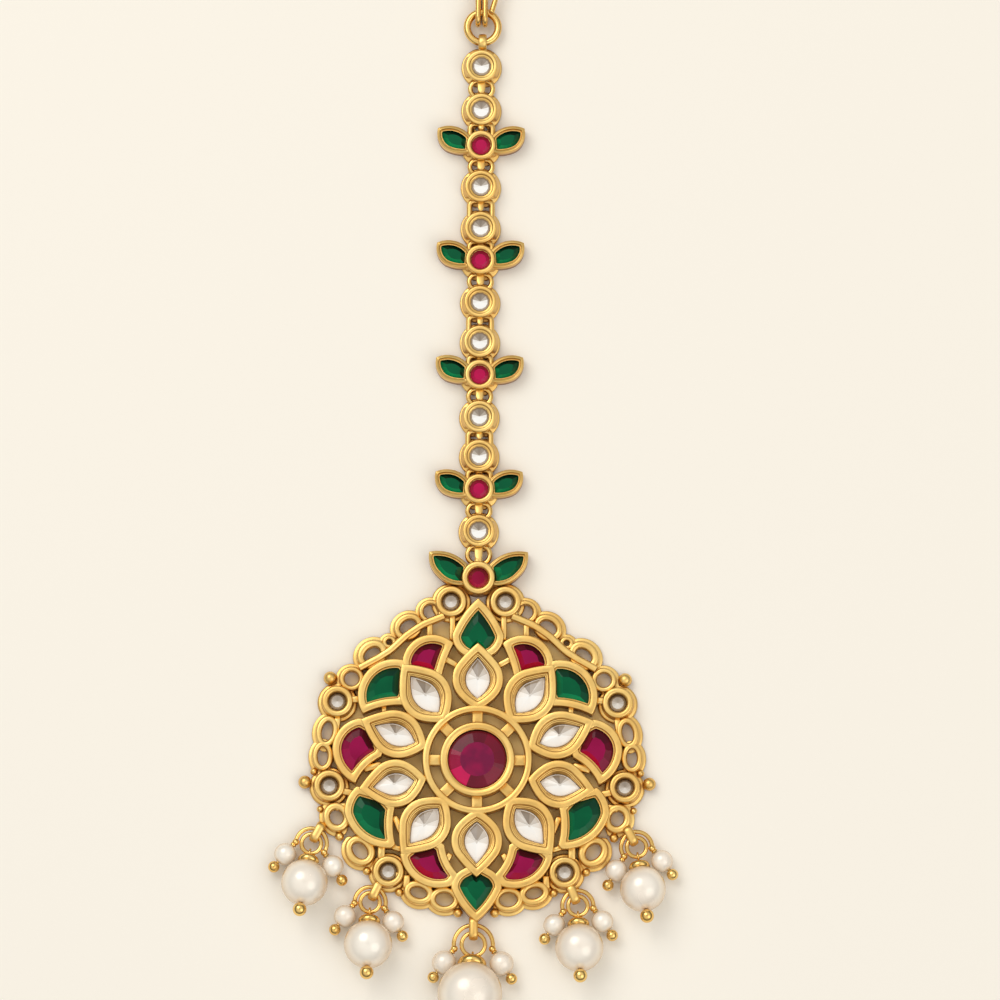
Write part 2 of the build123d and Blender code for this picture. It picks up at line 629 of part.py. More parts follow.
def main():
    os.makedirs("parts", exist_ok=True)
    petals, cells = frame_faces()
    openings = cell_openings(petals, cells)
    frame = drop_lugs(motif(medallion(petals, cells, openings)))
    save("medallion_frame", frame)

    save("centre_ruby", round_stone(0, 0, RUBY_R, "centre", RUBY_SIDES))
    for k, face in enumerate(petals):
        points = polygon_of(inset(face, RIM + STEP + FIT).faces()[0], PETAL_FACET)
        save(f"petal_stone_{k + 1:02d}", cut_stone(points, "petal"))
    for k, face in enumerate(openings.values()):
        shape = max(inset(face, FIT).faces(), key=lambda f: f.area)
        save(f"outer_stone_{k + 1:02d}", cut_stone(polygon_of(shape, CELL_FACET), "outer"))

    round_links = [y for kind, y in LINKS if kind == "round"]
    leaf_links = [y for kind, y in LINKS if kind == "leaf"]
    clear = [round_stone(x, y, COLLET_STONE_R, "clear") for x, y in both_sides(COLLETS)]
    save("clear_round_stones", clear + [round_stone(0, y, LINK_STONE_R, "clear") for y in round_links])
    rubies = [round_stone(0, y, LINK_STONE_R, "link_ruby") for y in leaf_links]
    save("small_rubies", rubies + [round_stone(0, MOTIF_Y, MOTIF_RUBY_R, "motif_ruby")])
    emeralds = [s for y in leaf_links for s in leaf_stones(LINK_LEAF, y, "link_leaf", LEAF_LINK_R)]
    save("leaf_emeralds", emeralds + leaf_stones(MOTIF_LEAF, MOTIF_Y, "motif_leaf", MOTIF_R))

    for index in range(len(LINKS)):
        save(f"link_{index + 1:02d}", link(index))
    save("chain_rings", chain_rings())
    save("top_ring", torus(TOP_RING_AT, TOP_RING_Z, TOP_RING_R, TOP_RING_WIRE))
    save("hair_hook", hair_hook())

    for k, drop in enumerate(DROPS):
        save(f"large_pearl_{k + 1}", large_pearl(drop))
        save(f"drop_pin_{k + 1}", drop_pin(drop))
        save(f"drop_hanger_{k + 1}", drop_hanger(drop))
    save("drop_rings", [torus(drop["ring"], drop["small_r"], drop["ring_r"], DROP_WIRE) for drop in DROPS])
    save("small_pearls", small_pearls())


main()
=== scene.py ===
import bmesh
import bpy
import math
import numpy as np
from mathutils import Matrix, Vector


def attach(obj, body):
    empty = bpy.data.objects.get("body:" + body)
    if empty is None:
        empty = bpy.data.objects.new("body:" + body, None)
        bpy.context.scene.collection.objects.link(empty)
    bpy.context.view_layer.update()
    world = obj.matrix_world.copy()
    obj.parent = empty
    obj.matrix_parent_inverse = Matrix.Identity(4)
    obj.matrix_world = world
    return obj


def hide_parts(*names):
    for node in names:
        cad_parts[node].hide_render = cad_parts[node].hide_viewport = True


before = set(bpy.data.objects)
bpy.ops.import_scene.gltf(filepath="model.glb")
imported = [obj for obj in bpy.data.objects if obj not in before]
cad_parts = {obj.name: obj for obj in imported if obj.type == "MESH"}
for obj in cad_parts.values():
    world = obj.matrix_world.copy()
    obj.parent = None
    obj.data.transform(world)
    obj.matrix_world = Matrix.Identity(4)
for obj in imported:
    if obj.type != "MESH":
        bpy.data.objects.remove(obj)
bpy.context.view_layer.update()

# Lengths in the dictionaries and tables are millimetres in the frame's own axes: +Y up the chain, +Z out of the face.
mm = 0.001
free = 99.0     # a reach that holds nothing back


def fullTurn(count):
    # even turns round a circle: 2 pi x step / count
    return np.linspace(0, 2 * math.pi, count, endpoint=False)


def bend(value, power):
    # signed power: sign x size to the power; below 1 it squares a circle off
    return np.sign(value) * np.abs(value) ** power


def arcPoints(start, end, rise, step):
    # points of the arc from start to end that rises to the left of travel, a straight run when rise is 0:
    # radius = (chord squared / 4 + rise squared) / (2 x rise)
    start, end = np.array(start, float), np.array(end, float)
    run = end - start
    length = np.hypot(*run)
    count = max(2, int(math.ceil(length / step)))
    share = np.arange(count) / count
    if abs(rise) < 1e-6:
        return start + share[:, None] * run
    radius = (length ** 2 / 4 + rise ** 2) / (2 * rise)
    half = 2 * math.atan(2 * rise / length)
    turn = -half + 2 * half * share
    along = length / 2 + radius * np.sin(turn)
    up = radius * (np.cos(turn) - math.cos(half))
    ahead, left = run / length, np.array([-run[1], run[0]]) / length
    return start + along[:, None] * ahead + up[:, None] * left


def outlineOf(rows, step=0.28):
    # closed outline through the rows x, y, rise, made to run anticlockwise
    following = rows[1:] + rows[:1]
    points = np.vstack([arcPoints(a[:2], b[:2], a[2], step) for a, b in zip(rows, following)])
    x, y = points.T
    area = np.sum(x * np.roll(y, -1) - np.roll(x, -1) * y) / 2
    return points if area > 0 else points[::-1]


def mirrored(rows):
    # rows x, y, rise on the other side of the centre line
    return tuple((-x, y, -rise) for x, y, rise in rows)


def ellipsePoints(x, y, a, b, turn=0.0, count=40):
    # half-axes a and b times the cosine and sine of a full turn, the whole turned by turn degrees
    t = fullTurn(count)
    c, s = math.cos(math.radians(turn)), math.sin(math.radians(turn))
    along, across = a * np.cos(t), b * np.sin(t)
    return np.column_stack([x + along * c - across * s, y + along * s + across * c])


def circlePoints(x, y, radius, count=40):
    # centre + radius x cosine and sine of a full turn
    return ellipsePoints(x, y, radius, radius, count=count)


def atHeight(flat, z):
    # flat points, all given the same z
    return np.column_stack([flat, np.full(len(flat), z)])


def edgeDistance(points, outline):
    # how far each point is from the nearest edge of a closed outline
    run = np.roll(outline, -1, axis=0) - outline
    offset = points[..., None, :] - outline
    along = np.clip(np.sum(offset * run, axis=-1) / np.sum(run * run, axis=-1), 0, 1)
    return np.linalg.norm(offset - along[..., None] * run, axis=-1).min(axis=-1)


def petalRows(tipX, tipY, rootX, rootY, halfWidth):
    # the side table laid along the line from tip to root, and again backwards on the other side
    tip, run = np.array([tipX, tipY]), np.array([rootX - tipX, rootY - tipY])
    across = np.array([-run[1], run[0]]) / np.hypot(*run) * halfWidth
    side = [(*(tip + run * share + across * width), rise * halfWidth) for share, width, rise in petalSide]
    back = []
    for (share, width, _), (_, _, rise) in ((petalSide[2], petalSide[1]), (petalSide[1], petalSide[0])):
        back.append((*(tip + run * share - across * width), rise * halfWidth))
    return (*side, (rootX, rootY, petalSide[2][2] * halfWidth), *back)


def roundedPath(points, radii, closed=False, steps=9):
    # straight runs joined by arcs: each corner's arc touches both runs at radius / tan(half the corner) from it
    points = [np.array(p, float) for p in points]
    count = len(points)
    path = [] if closed else [points[0]]
    for k in range(count) if closed else range(1, count - 1):
        here = points[k]
        a, b = points[k - 1] - here, points[(k + 1) % count] - here
        a, b = a / np.linalg.norm(a), b / np.linalg.norm(b)
        half = math.acos(np.clip(np.dot(a, b), -1, 1)) / 2
        radius = radii[k - 1] if isinstance(radii, list) else radii
        middle = here + (a + b) / np.linalg.norm(a + b) * radius / math.sin(half)
        start, end = [here + side * radius / math.tan(half) - middle for side in (a, b)]
        share, spread = np.linspace(0, 1, steps)[:, None], math.pi - 2 * half
        path.extend(middle + (np.sin((1 - share) * spread) * start + np.sin(share * spread) * end) / math.sin(spread))
    if not closed:
        path.append(points[-1])
    return np.array(path)


class Surface:
    # gathers grids of points into one mesh; each face keeps its tone, or else the height of its grid's top: on gold the
    # tone is the height its painted shade is measured against, on stones a facet's painted light
    def __init__(self):
        self.points, self.faces, self.tones, self.count = [], [], [], 0

    def grid(self, points, loop=False, openStart=False, tone=None):
        # rows x columns x 3, each row a ring; the rows loop round, or else end in poles, whose points are all the same
        rows, columns = points.shape[:2]
        index = self.count + np.arange(rows * columns).reshape(rows, columns)
        if not loop:
            index[-1] = index[-1, 0]
            if not openStart:
                index[0] = index[0, 0]
        base, following = (index, np.roll(index, -1, axis=0)) if loop else (index[:-1], index[1:])
        quads = np.stack([base, np.roll(base, -1, axis=1), np.roll(following, -1, axis=1), following], axis=-1)
        tone = points[..., 2].max() if tone is None else tone
        self.points.append(points.reshape(-1, 3))
        self.faces.append(quads.reshape(-1, 4))
        self.tones.append(np.broadcast_to(np.asarray(tone, float), base.shape).reshape(-1))
        self.count += rows * columns
        return self

    def build(self, name, smoothAngle):
        # one mesh in metres: corners that meet in a pole count once, unused points go, and normals point out
        quads, tones = np.vstack(self.faces), np.concatenate(self.tones)
        corner = quads != np.roll(quads, -1, axis=1)
        whole = corner.sum(axis=1) > 2
        count = corner[whole].sum(axis=1)
        used, corners = np.unique(quads[whole][corner[whole]], return_inverse=True)
        mesh = bpy.data.meshes.new(name)
        mesh.vertices.add(len(used))
        mesh.vertices.foreach_set("co", (np.vstack(self.points)[used] * mm).astype(np.float32).ravel())
        mesh.loops.add(len(corners))
        mesh.loops.foreach_set("vertex_index", corners.astype(np.int32).ravel())
        mesh.polygons.add(len(count))
        mesh.polygons.foreach_set("loop_start", (np.cumsum(count) - count).astype(np.int32))
        mesh.update(calc_edges=True)
        mesh.attributes.new("tone", "FLOAT", "FACE").data.foreach_set("value", tones[whole].astype(np.float32))
        work = bmesh.new()
        work.from_mesh(mesh)
        bmesh.ops.recalc_face_normals(work, faces=work.faces)
        work.to_mesh(mesh)
        work.free()
        if smoothAngle:
            mesh.shade_smooth()
            mesh.set_sharp_from_angle(angle=math.radians(smoothAngle))
        else:
            mesh.shade_flat()
        return placed(name, mesh)


def placed(name, data):
    # a new object in the scene, at the origin
    piece = bpy.data.objects.new(name, data)
    bpy.context.scene.collection.objects.link(piece)
    return piece


def sweep(path, section, closed=False, up=(0, 0, 1)):
    # point = path + across x first + lift x second of the section; across is square to the travel and to up, and lift
    # to the travel and to across. Corners are mitred, and open ends close in a pole.
    path, section, up = np.asarray(path, float), np.asarray(section, float), np.asarray(up, float)
    ahead = np.roll(path, -1, axis=0) - path
    ahead /= np.maximum(np.linalg.norm(ahead, axis=1, keepdims=True), 1e-9)
    behind = np.roll(ahead, 1, axis=0)
    if not closed:
        ahead[-1], behind[0] = behind[-1], ahead[0]
    travel = ahead + behind
    travel /= np.linalg.norm(travel, axis=1, keepdims=True)
    across = np.cross(up, travel)
    across /= np.linalg.norm(across, axis=1, keepdims=True)
    lift = np.cross(travel, across)
    mitre = 1 / np.clip(np.sum(travel * ahead, axis=1), 0.5, 1)
    points = (path[:, None] + across[:, None] * (section[None, :, :1] * mitre[:, None, None])
              + lift[:, None] * section[None, :, 1:])
    if closed:
        return points
    ends = np.broadcast_to(points.mean(axis=1, keepdims=True), points.shape)
    return np.vstack([ends[:1], points, ends[-1:]])


def tube(path, radius, closed=False, sides=14, up=(0, 0, 1)):
    # a circle carried along a path
    return sweep(path, circlePoints(0, 0, radius, sides), closed, up)


def softSection(halfWidth, low, high, power=0.4, sides=24):
    # rounded rectangle from low to high: half-sizes times signed powers of the cosine and sine of a full turn
    t = fullTurn(sides)
    return np.column_stack([halfWidth * bend(np.cos(t), power),
                            (low + high) / 2 + (high - low) / 2 * bend(np.sin(t), power)])


def edgeArcs(outer, inner, top, edge):
    # the two rounded edges of a rim's top: quarter circles of radius edge, from outer up and down to inner
    turn, inward = np.linspace(0, math.pi / 2, 5), math.copysign(edge, inner - outer)
    near, far = 1 - np.cos(turn), 1 - np.sin(turn)
    return (np.column_stack([outer + inward * near, top - edge * far]),
            np.column_stack([inner - inward * far, top - edge * near]))


def lathe(profile, centre=(0, 0), sides=56, reach=None):
    # profile rows radius, z round a vertical axis: centre + radius x cosine and sine of a full turn;
    # reach(angle, z) may hold the radius back
    t = fullTurn(sides)
    radius, z = [np.repeat(part[:, None], sides, axis=1) for part in np.asarray(profile, float).T]
    if reach is not None:
        radius = np.minimum(radius, reach(t, z))
    return np.stack([centre[0] + radius * np.cos(t), centre[1] + radius * np.sin(t), z], axis=-1)


def latheAlong(profile, start, direction, sides=28):
    # profile rows distance, radius round a slanted axis:
    # start + distance x axis + radius x (cosine x side + sine x other)
    profile = np.asarray(profile, float)
    axis = np.asarray(direction, float) / np.linalg.norm(direction)
    side = np.cross(axis, (0, 0, 1) if abs(axis[2]) < 0.9 else (1, 0, 0))
    side /= np.linalg.norm(side)
    other = np.cross(axis, side)
    t = fullTurn(sides)[None, :, None]
    along, radius = profile[:, :1, None], profile[:, 1:, None]
    return np.asarray(start) + along * axis + radius * (np.cos(t) * side + np.sin(t) * other)


def softBlock(x, y, z, halfLength, halfWidth, halfHeight, turn=0.0, power=0.35, rows=13, columns=28):
    # half-sizes times signed powers of the cosines and sines of a rise and a full turn:
    # a block with rounded edges and ends, and a plain ball when power is 1
    rise, around = np.linspace(-math.pi / 2, math.pi / 2, rows)[:, None], fullTurn(columns)
    a = halfLength * bend(np.cos(rise), power) * bend(np.cos(around), power)
    b = halfWidth * bend(np.cos(rise), power) * bend(np.sin(around), power)
    c = halfHeight * bend(np.sin(rise), power) * np.ones(columns)
    cosine, sine = math.cos(math.radians(turn)), math.sin(math.radians(turn))
    points = np.stack([x + a * cosine - b * sine, y + a * sine + b * cosine, z + c], axis=-1)
    points[0], points[-1] = points[0].mean(axis=0), points[-1].mean(axis=0)
    return points


def ballPoints(centre, radius, rows=15, columns=26):
    # a soft block with three equal half-sizes and power 1
    return softBlock(*centre, radius, radius, radius, power=1.0, rows=rows, columns=columns)


def softBar(x, y, toX, toY, width, low, high):
    # tie bar between two points: a soft block of that length, turned along the line between them
    length, turn = math.hypot(toX - x, toY - y), math.degrees(math.atan2(toY - y, toX - x))
    middle = (x + toX) / 2, (y + toY) / 2, (low + high) / 2
    return softBlock(*middle, length / 2, width / 2, (high - low) / 2, turn, rows=9, columns=20)


class Inset:
    # an outline seen from its middle: how far in along each ray the nearest edge is a given distance away
    samples = 90

    def __init__(self, outline):
        self.outline, self.centre = outline, outline.mean(axis=0)
        self.share = np.linspace(1, 0, self.samples)
        rays = self.centre + self.share[None, :, None] * (outline - self.centre)[:, None]
        self.distance = edgeDistance(rays, outline)

    def at(self, inset):
        # the outline moved in: along each ray, between the last sample that is too near an edge and the next one
        if inset <= 0:
            return self.outline
        passed = self.distance >= inset
        index = np.where(passed.any(axis=1), passed.argmax(axis=1), self.distance.argmax(axis=1))
        index = np.maximum(index, 1)
        row = np.arange(len(index))
        before, after = self.distance[row, index - 1], self.distance[row, index]
        blend = np.clip((inset - before) / np.maximum(after - before, 1e-6), 0, 1)
        share = self.share[index - 1] + blend * (self.share[index] - self.share[index - 1])
        return self.centre + share[:, None] * (self.outline - self.centre)

    def rows(self, table):
        # grid from rows inset, z: None for the inset is the centre itself
        middle = np.broadcast_to(self.centre, self.outline.shape)
        return np.array([atHeight(middle if inset is None else self.at(inset), z) for inset, z in table])


class Value:
    # a number in a shader: operators on it add Math nodes
    def __init__(self, nodes, socket):
        self.nodes, self.socket = nodes, socket

    def math(self, operation, first, second):
        node = self.nodes.make("ShaderNodeMath", {"operation": operation}, {0: first, 1: second})
        return Value(self.nodes, node.outputs[0])

    def __add__(self, other):
        return self.math("ADD", self, other)

    def __sub__(self, other):
        return self.math("SUBTRACT", self, other)

    def __rsub__(self, other):
        return self.math("SUBTRACT", other, self)

    def __mul__(self, other):
        return self.math("MULTIPLY", self, other)

    def __truediv__(self, other):
        return self.math("DIVIDE", self, other)

    def __rtruediv__(self, other):
        return self.math("DIVIDE", other, self)

    __radd__, __rmul__ = __add__, __mul__

    def ramp(self, low, high, toLow=0.0, toHigh=1.0):
        # value stretched from low..high to toLow..toHigh, smooth at both ends
        node = self.nodes.make("ShaderNodeMapRange", {"interpolation_type": "SMOOTHSTEP"},
                               {"Value": self, "From Min": low, "From Max": high, "To Min": toLow, "To Max": toHigh})
        return Value(self.nodes, node.outputs[0])

    def spread(self, low, high):
        # a noise, which keeps mostly between 0.3 and 0.7, spread over low..high
        return self.ramp(0.3, 0.7, low, high)


class Nodes:
    # the nodes of a material or a world, and its shader
    def __init__(self, block, shader="Principled BSDF"):
        block.use_nodes = True
        self.block, self.tree = block, block.node_tree
        self.shader = self.tree.nodes[shader]

    def make(self, kind, settings=None, inputs=None):
        node = self.tree.nodes.new(kind)
        for key, value in (settings or {}).items():
            setattr(node, key, value)
        for key, value in (inputs or {}).items():
            self.feed(node.inputs[key], value)
        return node

    def feed(self, socket, value):
        if isinstance(value, Value):
            value = value.socket
        if isinstance(value, bpy.types.NodeSocket):
            self.tree.links.new(value, socket)
        else:
            socket.default_value = value

    def shade(self, **inputs):
        for key, value in inputs.items():
            self.feed(self.shader.inputs[key.replace("_", " ")], value)
        return self.block

    def coordinate(self, kind="Object"):
        # three values: x, y and z
        node = self.make("ShaderNodeSeparateXYZ", None, {0: self.make("ShaderNodeTexCoord").outputs[kind]})
        return [Value(self, out) for out in node.outputs]

    def attribute(self, name):
        return Value(self, self.make("ShaderNodeAttribute", {"attribute_name": name}).outputs["Fac"])

    def noise(self, scale, detail=2.0, roughness=0.5):
        place = self.make("ShaderNodeTexCoord").outputs["Object"]
        node = self.make("ShaderNodeTexNoise", None, {"Vector": place, "Scale": scale, "Detail": detail,
                                                      "Roughness": roughness})
        return Value(self, node.outputs["Fac"])

    def blend(self, share, first, second):
        # colours first and second mixed by share
        node = self.make("ShaderNodeMix", {"data_type": "RGBA"}, {0: share, 6: first, 7: second})
        return node.outputs[2]

    def stops(self, share, table):
        # colour ramp from rows position, colour
        node = self.make("ShaderNodeValToRGB", None, {0: share})
        elements = node.color_ramp.elements
        while len(elements) < len(table):
            elements.new(0.5)
        for element, (position, tint) in zip(elements, table):
            element.position, element.color = position, tint
        return node.outputs["Color"]

    def bump(self, height, strength, distance):
        node = self.make("ShaderNodeBump", None, {"Height": height, "Strength": strength, "Distance": distance})
        return node.outputs["Normal"]


def colour(red, green, blue):
    # screen colour 0..255 to the linear colour a shader takes
    return tuple((c / 255 / 12.92 if c / 255 <= 0.04045 else ((c / 255 + 0.055) / 1.055) ** 2.4)
                 for c in (red, green, blue)) + (1.0,)


# the brown third colour is painted shade, which the gold turns to on faces low under their top
gold = dict(light=colour(243, 205, 126), deep=colour(226, 170, 82), paintedCreviceShade=colour(138, 78, 18), deepShare=0.4,
            grain=(900.0, 3.0, 0.55), cloud=160.0, cloudShare=0.2, bumpDepth=0.03, smoother=0.05, rougher=0.07,
            castRoughness=0.34, wireRoughness=0.18, polishedRoughness=0.12)


def goldMaterial(name, roughness, low=0.12, high=0.8, bump=0.25):
    # gilding with painted shade: the lower a face lies under its own top or tone, the nearer it turns to a dark painted
    # shade colour, with a fine uneven grain
    nodes = Nodes(bpy.data.materials.new(name))
    height = nodes.coordinate()[2] * (1 / mm)
    grain, cloud = nodes.noise(*gold["grain"]), nodes.noise(gold["cloud"])
    shade = [a + (b - a) * gold["deepShare"] for a, b in zip(gold["light"], gold["deep"])]
    tone = nodes.blend(cloud.ramp(0.35, 0.65), gold["light"], shade)
    # painted shade: low faces, in creases and between parts, turn to the brown shade colour
    clearOfPaintedShade = (height / nodes.attribute("tone") + (cloud - 0.5) * gold["cloudShare"]).ramp(low, high)
    return nodes.shade(Base_Color=nodes.blend(clearOfPaintedShade, gold["paintedCreviceShade"], tone), Metallic=1.0,
                       Roughness=grain.spread(roughness - gold["smoother"], roughness + gold["rougher"]),
                       Normal=nodes.bump(grain, bump, gold["bumpDepth"] * mm))


# middle, leanY and leanX set the cut stones' painted facet light
gem = dict(roughness=0.06, uneven=0.06, gloss=0.18, clearGloss=0.5, coatRoughness=0.03, veil=420.0,
           cutVeil=300.0, cutGloss=0.13, cutCoat=0.1, flat=0.004, sloped=0.03, middle=0.42, leanY=0.75, leanX=0.4)


def foiledGlass(nodes, tone, table, veil, gloss, coat):
    # foiled glass: tone picks the colour from dark to bright, under a clear gloss; the colours are the stone's own,
    # which facet shows bright or dark is painted light and reflection
    roughness = veil.spread(gem["roughness"], gem["roughness"] + gem["uneven"])
    return nodes.shade(Base_Color=nodes.stops(tone, [(place, colour(*tint)) for place, tint in table]),
                       Roughness=roughness, Specular_IOR_Level=gloss, Coat_Weight=coat,
                       Coat_Roughness=gem["coatRoughness"])


def gemMaterial(name, table, gloss):
    # each facet carries its own tone, painted light and reflection, with a random veil
    nodes = Nodes(bpy.data.materials.new(name))
    veil = nodes.noise(gem["veil"])
    return foiledGlass(nodes, nodes.attribute("tone") + (veil - 0.5) * 0.25, table, veil, gloss, gloss)


def cutStoneMaterial(name, table, tableTone):
    # for stones whose facets carry no tone of their own: painted light from the way each facet leans, lighter down the
    # chain and towards -X, the flat table at one tone
    nodes = Nodes(bpy.data.materials.new(name))
    lean = nodes.coordinate("Normal")
    facet = (1 - lean[2]).ramp(gem["flat"], gem["sloped"])
    facetPaintedLight = gem["middle"] - lean[1] * gem["leanY"] - lean[0] * gem["leanX"]
    veil = nodes.noise(gem["cutVeil"])
    tone = facet * facetPaintedLight + (1 - facet) * tableTone + (veil - 0.5) * 0.3
    return foiledGlass(nodes, tone, table, veil, gem["cutGloss"], gem["cutCoat"])


# rim is the painted reflection and shade colour at a pearl's edge
pearl = dict(cream=colour(255, 248, 236), rim=colour(226, 192, 144), blush=colour(240, 214, 190), blushShare=0.25,
             cloud=210.0, facing=0.35, roughness=(0.2, 0.28), metallic=0.12, coat=0.6, coatRoughness=0.12, gloss=0.5)


def pearlMaterial():
    # cream nacre under a soft gloss; the beige towards the edge, which follows the view, is painted reflection and
    # shade, and a random blush tints it
    nodes = Nodes(bpy.data.materials.new("pearlLustre"))
    cloud = nodes.noise(pearl["cloud"], 3.0)
    facing = nodes.make("ShaderNodeLayerWeight", None, {"Blend": pearl["facing"]}).outputs["Facing"]
    base = nodes.blend(Value(nodes, facing).ramp(0.1, 0.85), pearl["cream"], pearl["rim"])
    base = nodes.blend(cloud.ramp(0.35, 0.7, 0.0, pearl["blushShare"]), base, pearl["blush"])
    return nodes.shade(Base_Color=base, Roughness=cloud.spread(*pearl["roughness"]), Metallic=pearl["metallic"],
                       Coat_Weight=pearl["coat"], Coat_Roughness=pearl["coatRoughness"],
                       Specular_IOR_Level=pearl["gloss"])


# the last numbers set the painted shade's ramp and the bump: the higher the ramp, the further up the painted shade
# reaches
castGold = goldMaterial("castGold", gold["castRoughness"])
wireGold = goldMaterial("wireGold", gold["wireRoughness"], low=0.1, high=0.75, bump=0.12)
polishedGold = goldMaterial("polishedGold", gold["polishedRoughness"], low=-0.3, high=0.45, bump=0.04)
rubyGlass = gemMaterial("rubyGlass", (
    (0.0, (74, 0, 22)), (0.35, (128, 0, 42)), (0.6, (172, 8, 72)), (0.8, (206, 16, 88)), (1.0, (120, 24, 66))),
    gem["gloss"])
clearGlass = gemMaterial("clearGlass", (
    (0.0, (112, 96, 80)), (0.35, (180, 168, 154)), (0.7, (238, 234, 228)), (1.0, (255, 255, 253))), gem["clearGloss"])
emeraldCut = cutStoneMaterial("emeraldCut", (
    (0.0, (0, 34, 22)), (0.4, (0, 78, 48)), (0.7, (0, 108, 66)), (1.0, (10, 146, 90))), 0.5)
rubyCut = cutStoneMaterial("rubyCut", (
    (0.0, (60, 0, 20)), (0.35, (106, 0, 34)), (0.62, (152, 14, 74)), (0.8, (162, 2, 40)), (1.0, (190, 12, 62))), 0.6)
pearlLustre = pearlMaterial()
print("materials made")


def settle(work, name, material, replaced, smoothAngle=35.0):
    # a finished piece: its mesh, its material, its body, and the node it stands for, hidden
    piece = work.build(name, smoothAngle)
    piece.data.materials.append(material)
    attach(piece, "root")
    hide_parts(replaced)


medallion = dict(
    back=0.8, flangeTop=0.6, loopTop=1.9, colletTop=2.35, cellTop=2.56, petalTop=2.63, ringTop=2.66, bezelTop=2.9,
    rim=0.95, edge=0.18, flange=0.45, flangeFrom=18.9, flangeBlend=0.4,
    bezel=(3.8, 4.85), bezelEdge=0.3, bezelSteps=((0.24, 0.0), (0.16, 0.07), (0.1, 0.03), (0.03, 0.06), (0.0, 0.16)),
    ring=(6.1, 7.1), spokes=8, spokeLength=2.0, spokeWidth=1.45, spokeTop=1.8,
    # the seat's tone paints shade deep in each petal seat, round the stone's foot
    seatPaintedShade=3.2, seatLow=1.6, ledges=(  # inset from the rim, height, painted shade of the band that follows
        (0.01, 2.3, 6.0), (0.09, 2.16, 2.75), (0.21, 2.14, 5.0), (0.28, 1.98, 2.6), (0.38, 1.96, 4.4),
        (0.44, 1.85, 2.9)),
    collet=dict(radius=2.0, lip=1.22, well=((1.2, 2.0), (1.19, 1.75), (1.14, 1.7), (1.12, 1.6))),
    cupFoot=((0.12, 0), (0.12, 1.3), (0, 1.8)),
    skirt=((0, 0), (2.57, 0), (2.57, 0.38), (2.49, 0.54), (2.35, 0.6), (0, 0.62)),
    barLow=0.5, barTop=1.8, railHalf=0.5, railTop=2.2, railBend=6.0, grainLow=0.75, tuckDepth=0.45, tuckTo=0.6)

petals = (  # tip x, tip y, root x, root y, half-width
    (0.0, 15.1, 0.0, 6.4, 3.3), (-9.8, 12.3, -4.0, 4.9, 3.3), (-15.0, 5.1, -6.5, 1.6, 3.05),
    (-15.2, -3.9, -6.5, -2.5, 3.1), (-9.7, -12.3, -4.0, -5.0, 3.25), (0.0, -15.2, 0.0, -6.4, 3.3))
petalSide = (  # share of the length, share of the half-width, rise of the arc to the next row over the half-width
    (0.0, 0.0, 0.03), (0.277, 0.73, 0.255), (0.787, 0.76, 0.055))

cells = {  # x, y, rise of the arc to the next row
    "topDrop": ((0.0, 20.9, 0.35), (3.35, 16.1, 0.45), (1.7, 13.4, 0.0), (0.0, 12.4, 0.0), (-1.7, 13.4, 0.45),
                (-3.35, 16.1, 0.35)),
    "upperFan": ((-9.75, 12.0, 2.5), (-3.1, 15.0, -0.15), (-4.6, 10.8, 0.0), (-7.5, 9.0, 0.0)),
    "shoulder": ((-14.7, 5.8, 0.25), (-15.4, 8.6, 1.65), (-9.5, 12.8, 0.0), (-8.6, 11.5, 0.0), (-8.6, 9.0, 0.0),
                 (-9.6, 6.95, -0.35)),
    "flank": ((-15.6, -3.2, 0.75), (-18.6, 1.2, 1.05), (-14.9, 5.3, 0.0), (-12.8, 4.0, 0.0), (-12.0, 1.2, 0.0),
              (-12.3, 0.3, -0.45)),
    "hip": ((-10.9, -11.5, 1.35), (-17.0, -7.0, 0.45), (-15.4, -3.5, 0.0), (-12.0, -4.5, 0.0), (-10.5, -6.2, -0.3),
            (-10.4, -11.0, 0.0)),
    "lowerFan": ((-3.2, -16.3, 1.85), (-9.8, -12.2, 0.0), (-6.5, -9.5, 0.0), (-4.1, -11.0, -0.4), (-2.2, -14.9, 0.0)),
    "bottomDrop": ((0.0, -20.9, 0.35), (-3.25, -16.6, 0.4), (-1.9, -14.2, 0.0), (0.0, -13.2, 0.0), (1.9, -14.2, 0.4),
                   (3.25, -16.6, 0.35))}

loops = (  # x, y, outer half-axes, hole's half-axes, turn in degrees
    (-6.1, 19.2, 1.6, 1.55, 0.9, 0.9, 0), (-9.0, 17.2, 2.0, 1.75, 1.1, 0.8, 35),
    (-11.4, 15.2, 0.95, 0.85, 0.32, 0.32, 0),
    (-13.6, 13.6, 2.15, 1.85, 1.1, 0.75, 40), (-16.2, 10.45, 1.65, 1.6, 0.9, 0.9, 0),
    (-19.3, 3.6, 2.1, 1.5, 1.25, 0.65, 80), (-19.85, 0.4, 1.95, 1.4, 1.15, 0.62, 90),
    (-18.0, -7.45, 1.95, 1.8, 0.95, 0.8, 110), (-14.95, -11.75, 2.1, 1.9, 1.15, 0.8, 130),
    (-7.4, -17.1, 2.0, 1.6, 1.05, 0.65, -15), (-4.1, -17.95, 1.95, 1.6, 1.1, 0.85, -5))
collets = ((-3.5, 20.45), (-18.0, 7.45), (-18.95, -3.45), (-11.3, -14.45))
rail = ((-4.4, 18.6), (-7.1, 17.5), (-9.2, 16.05), (-11.2, 14.15), (-12.8, 13.1), (-15.2, 11.8))
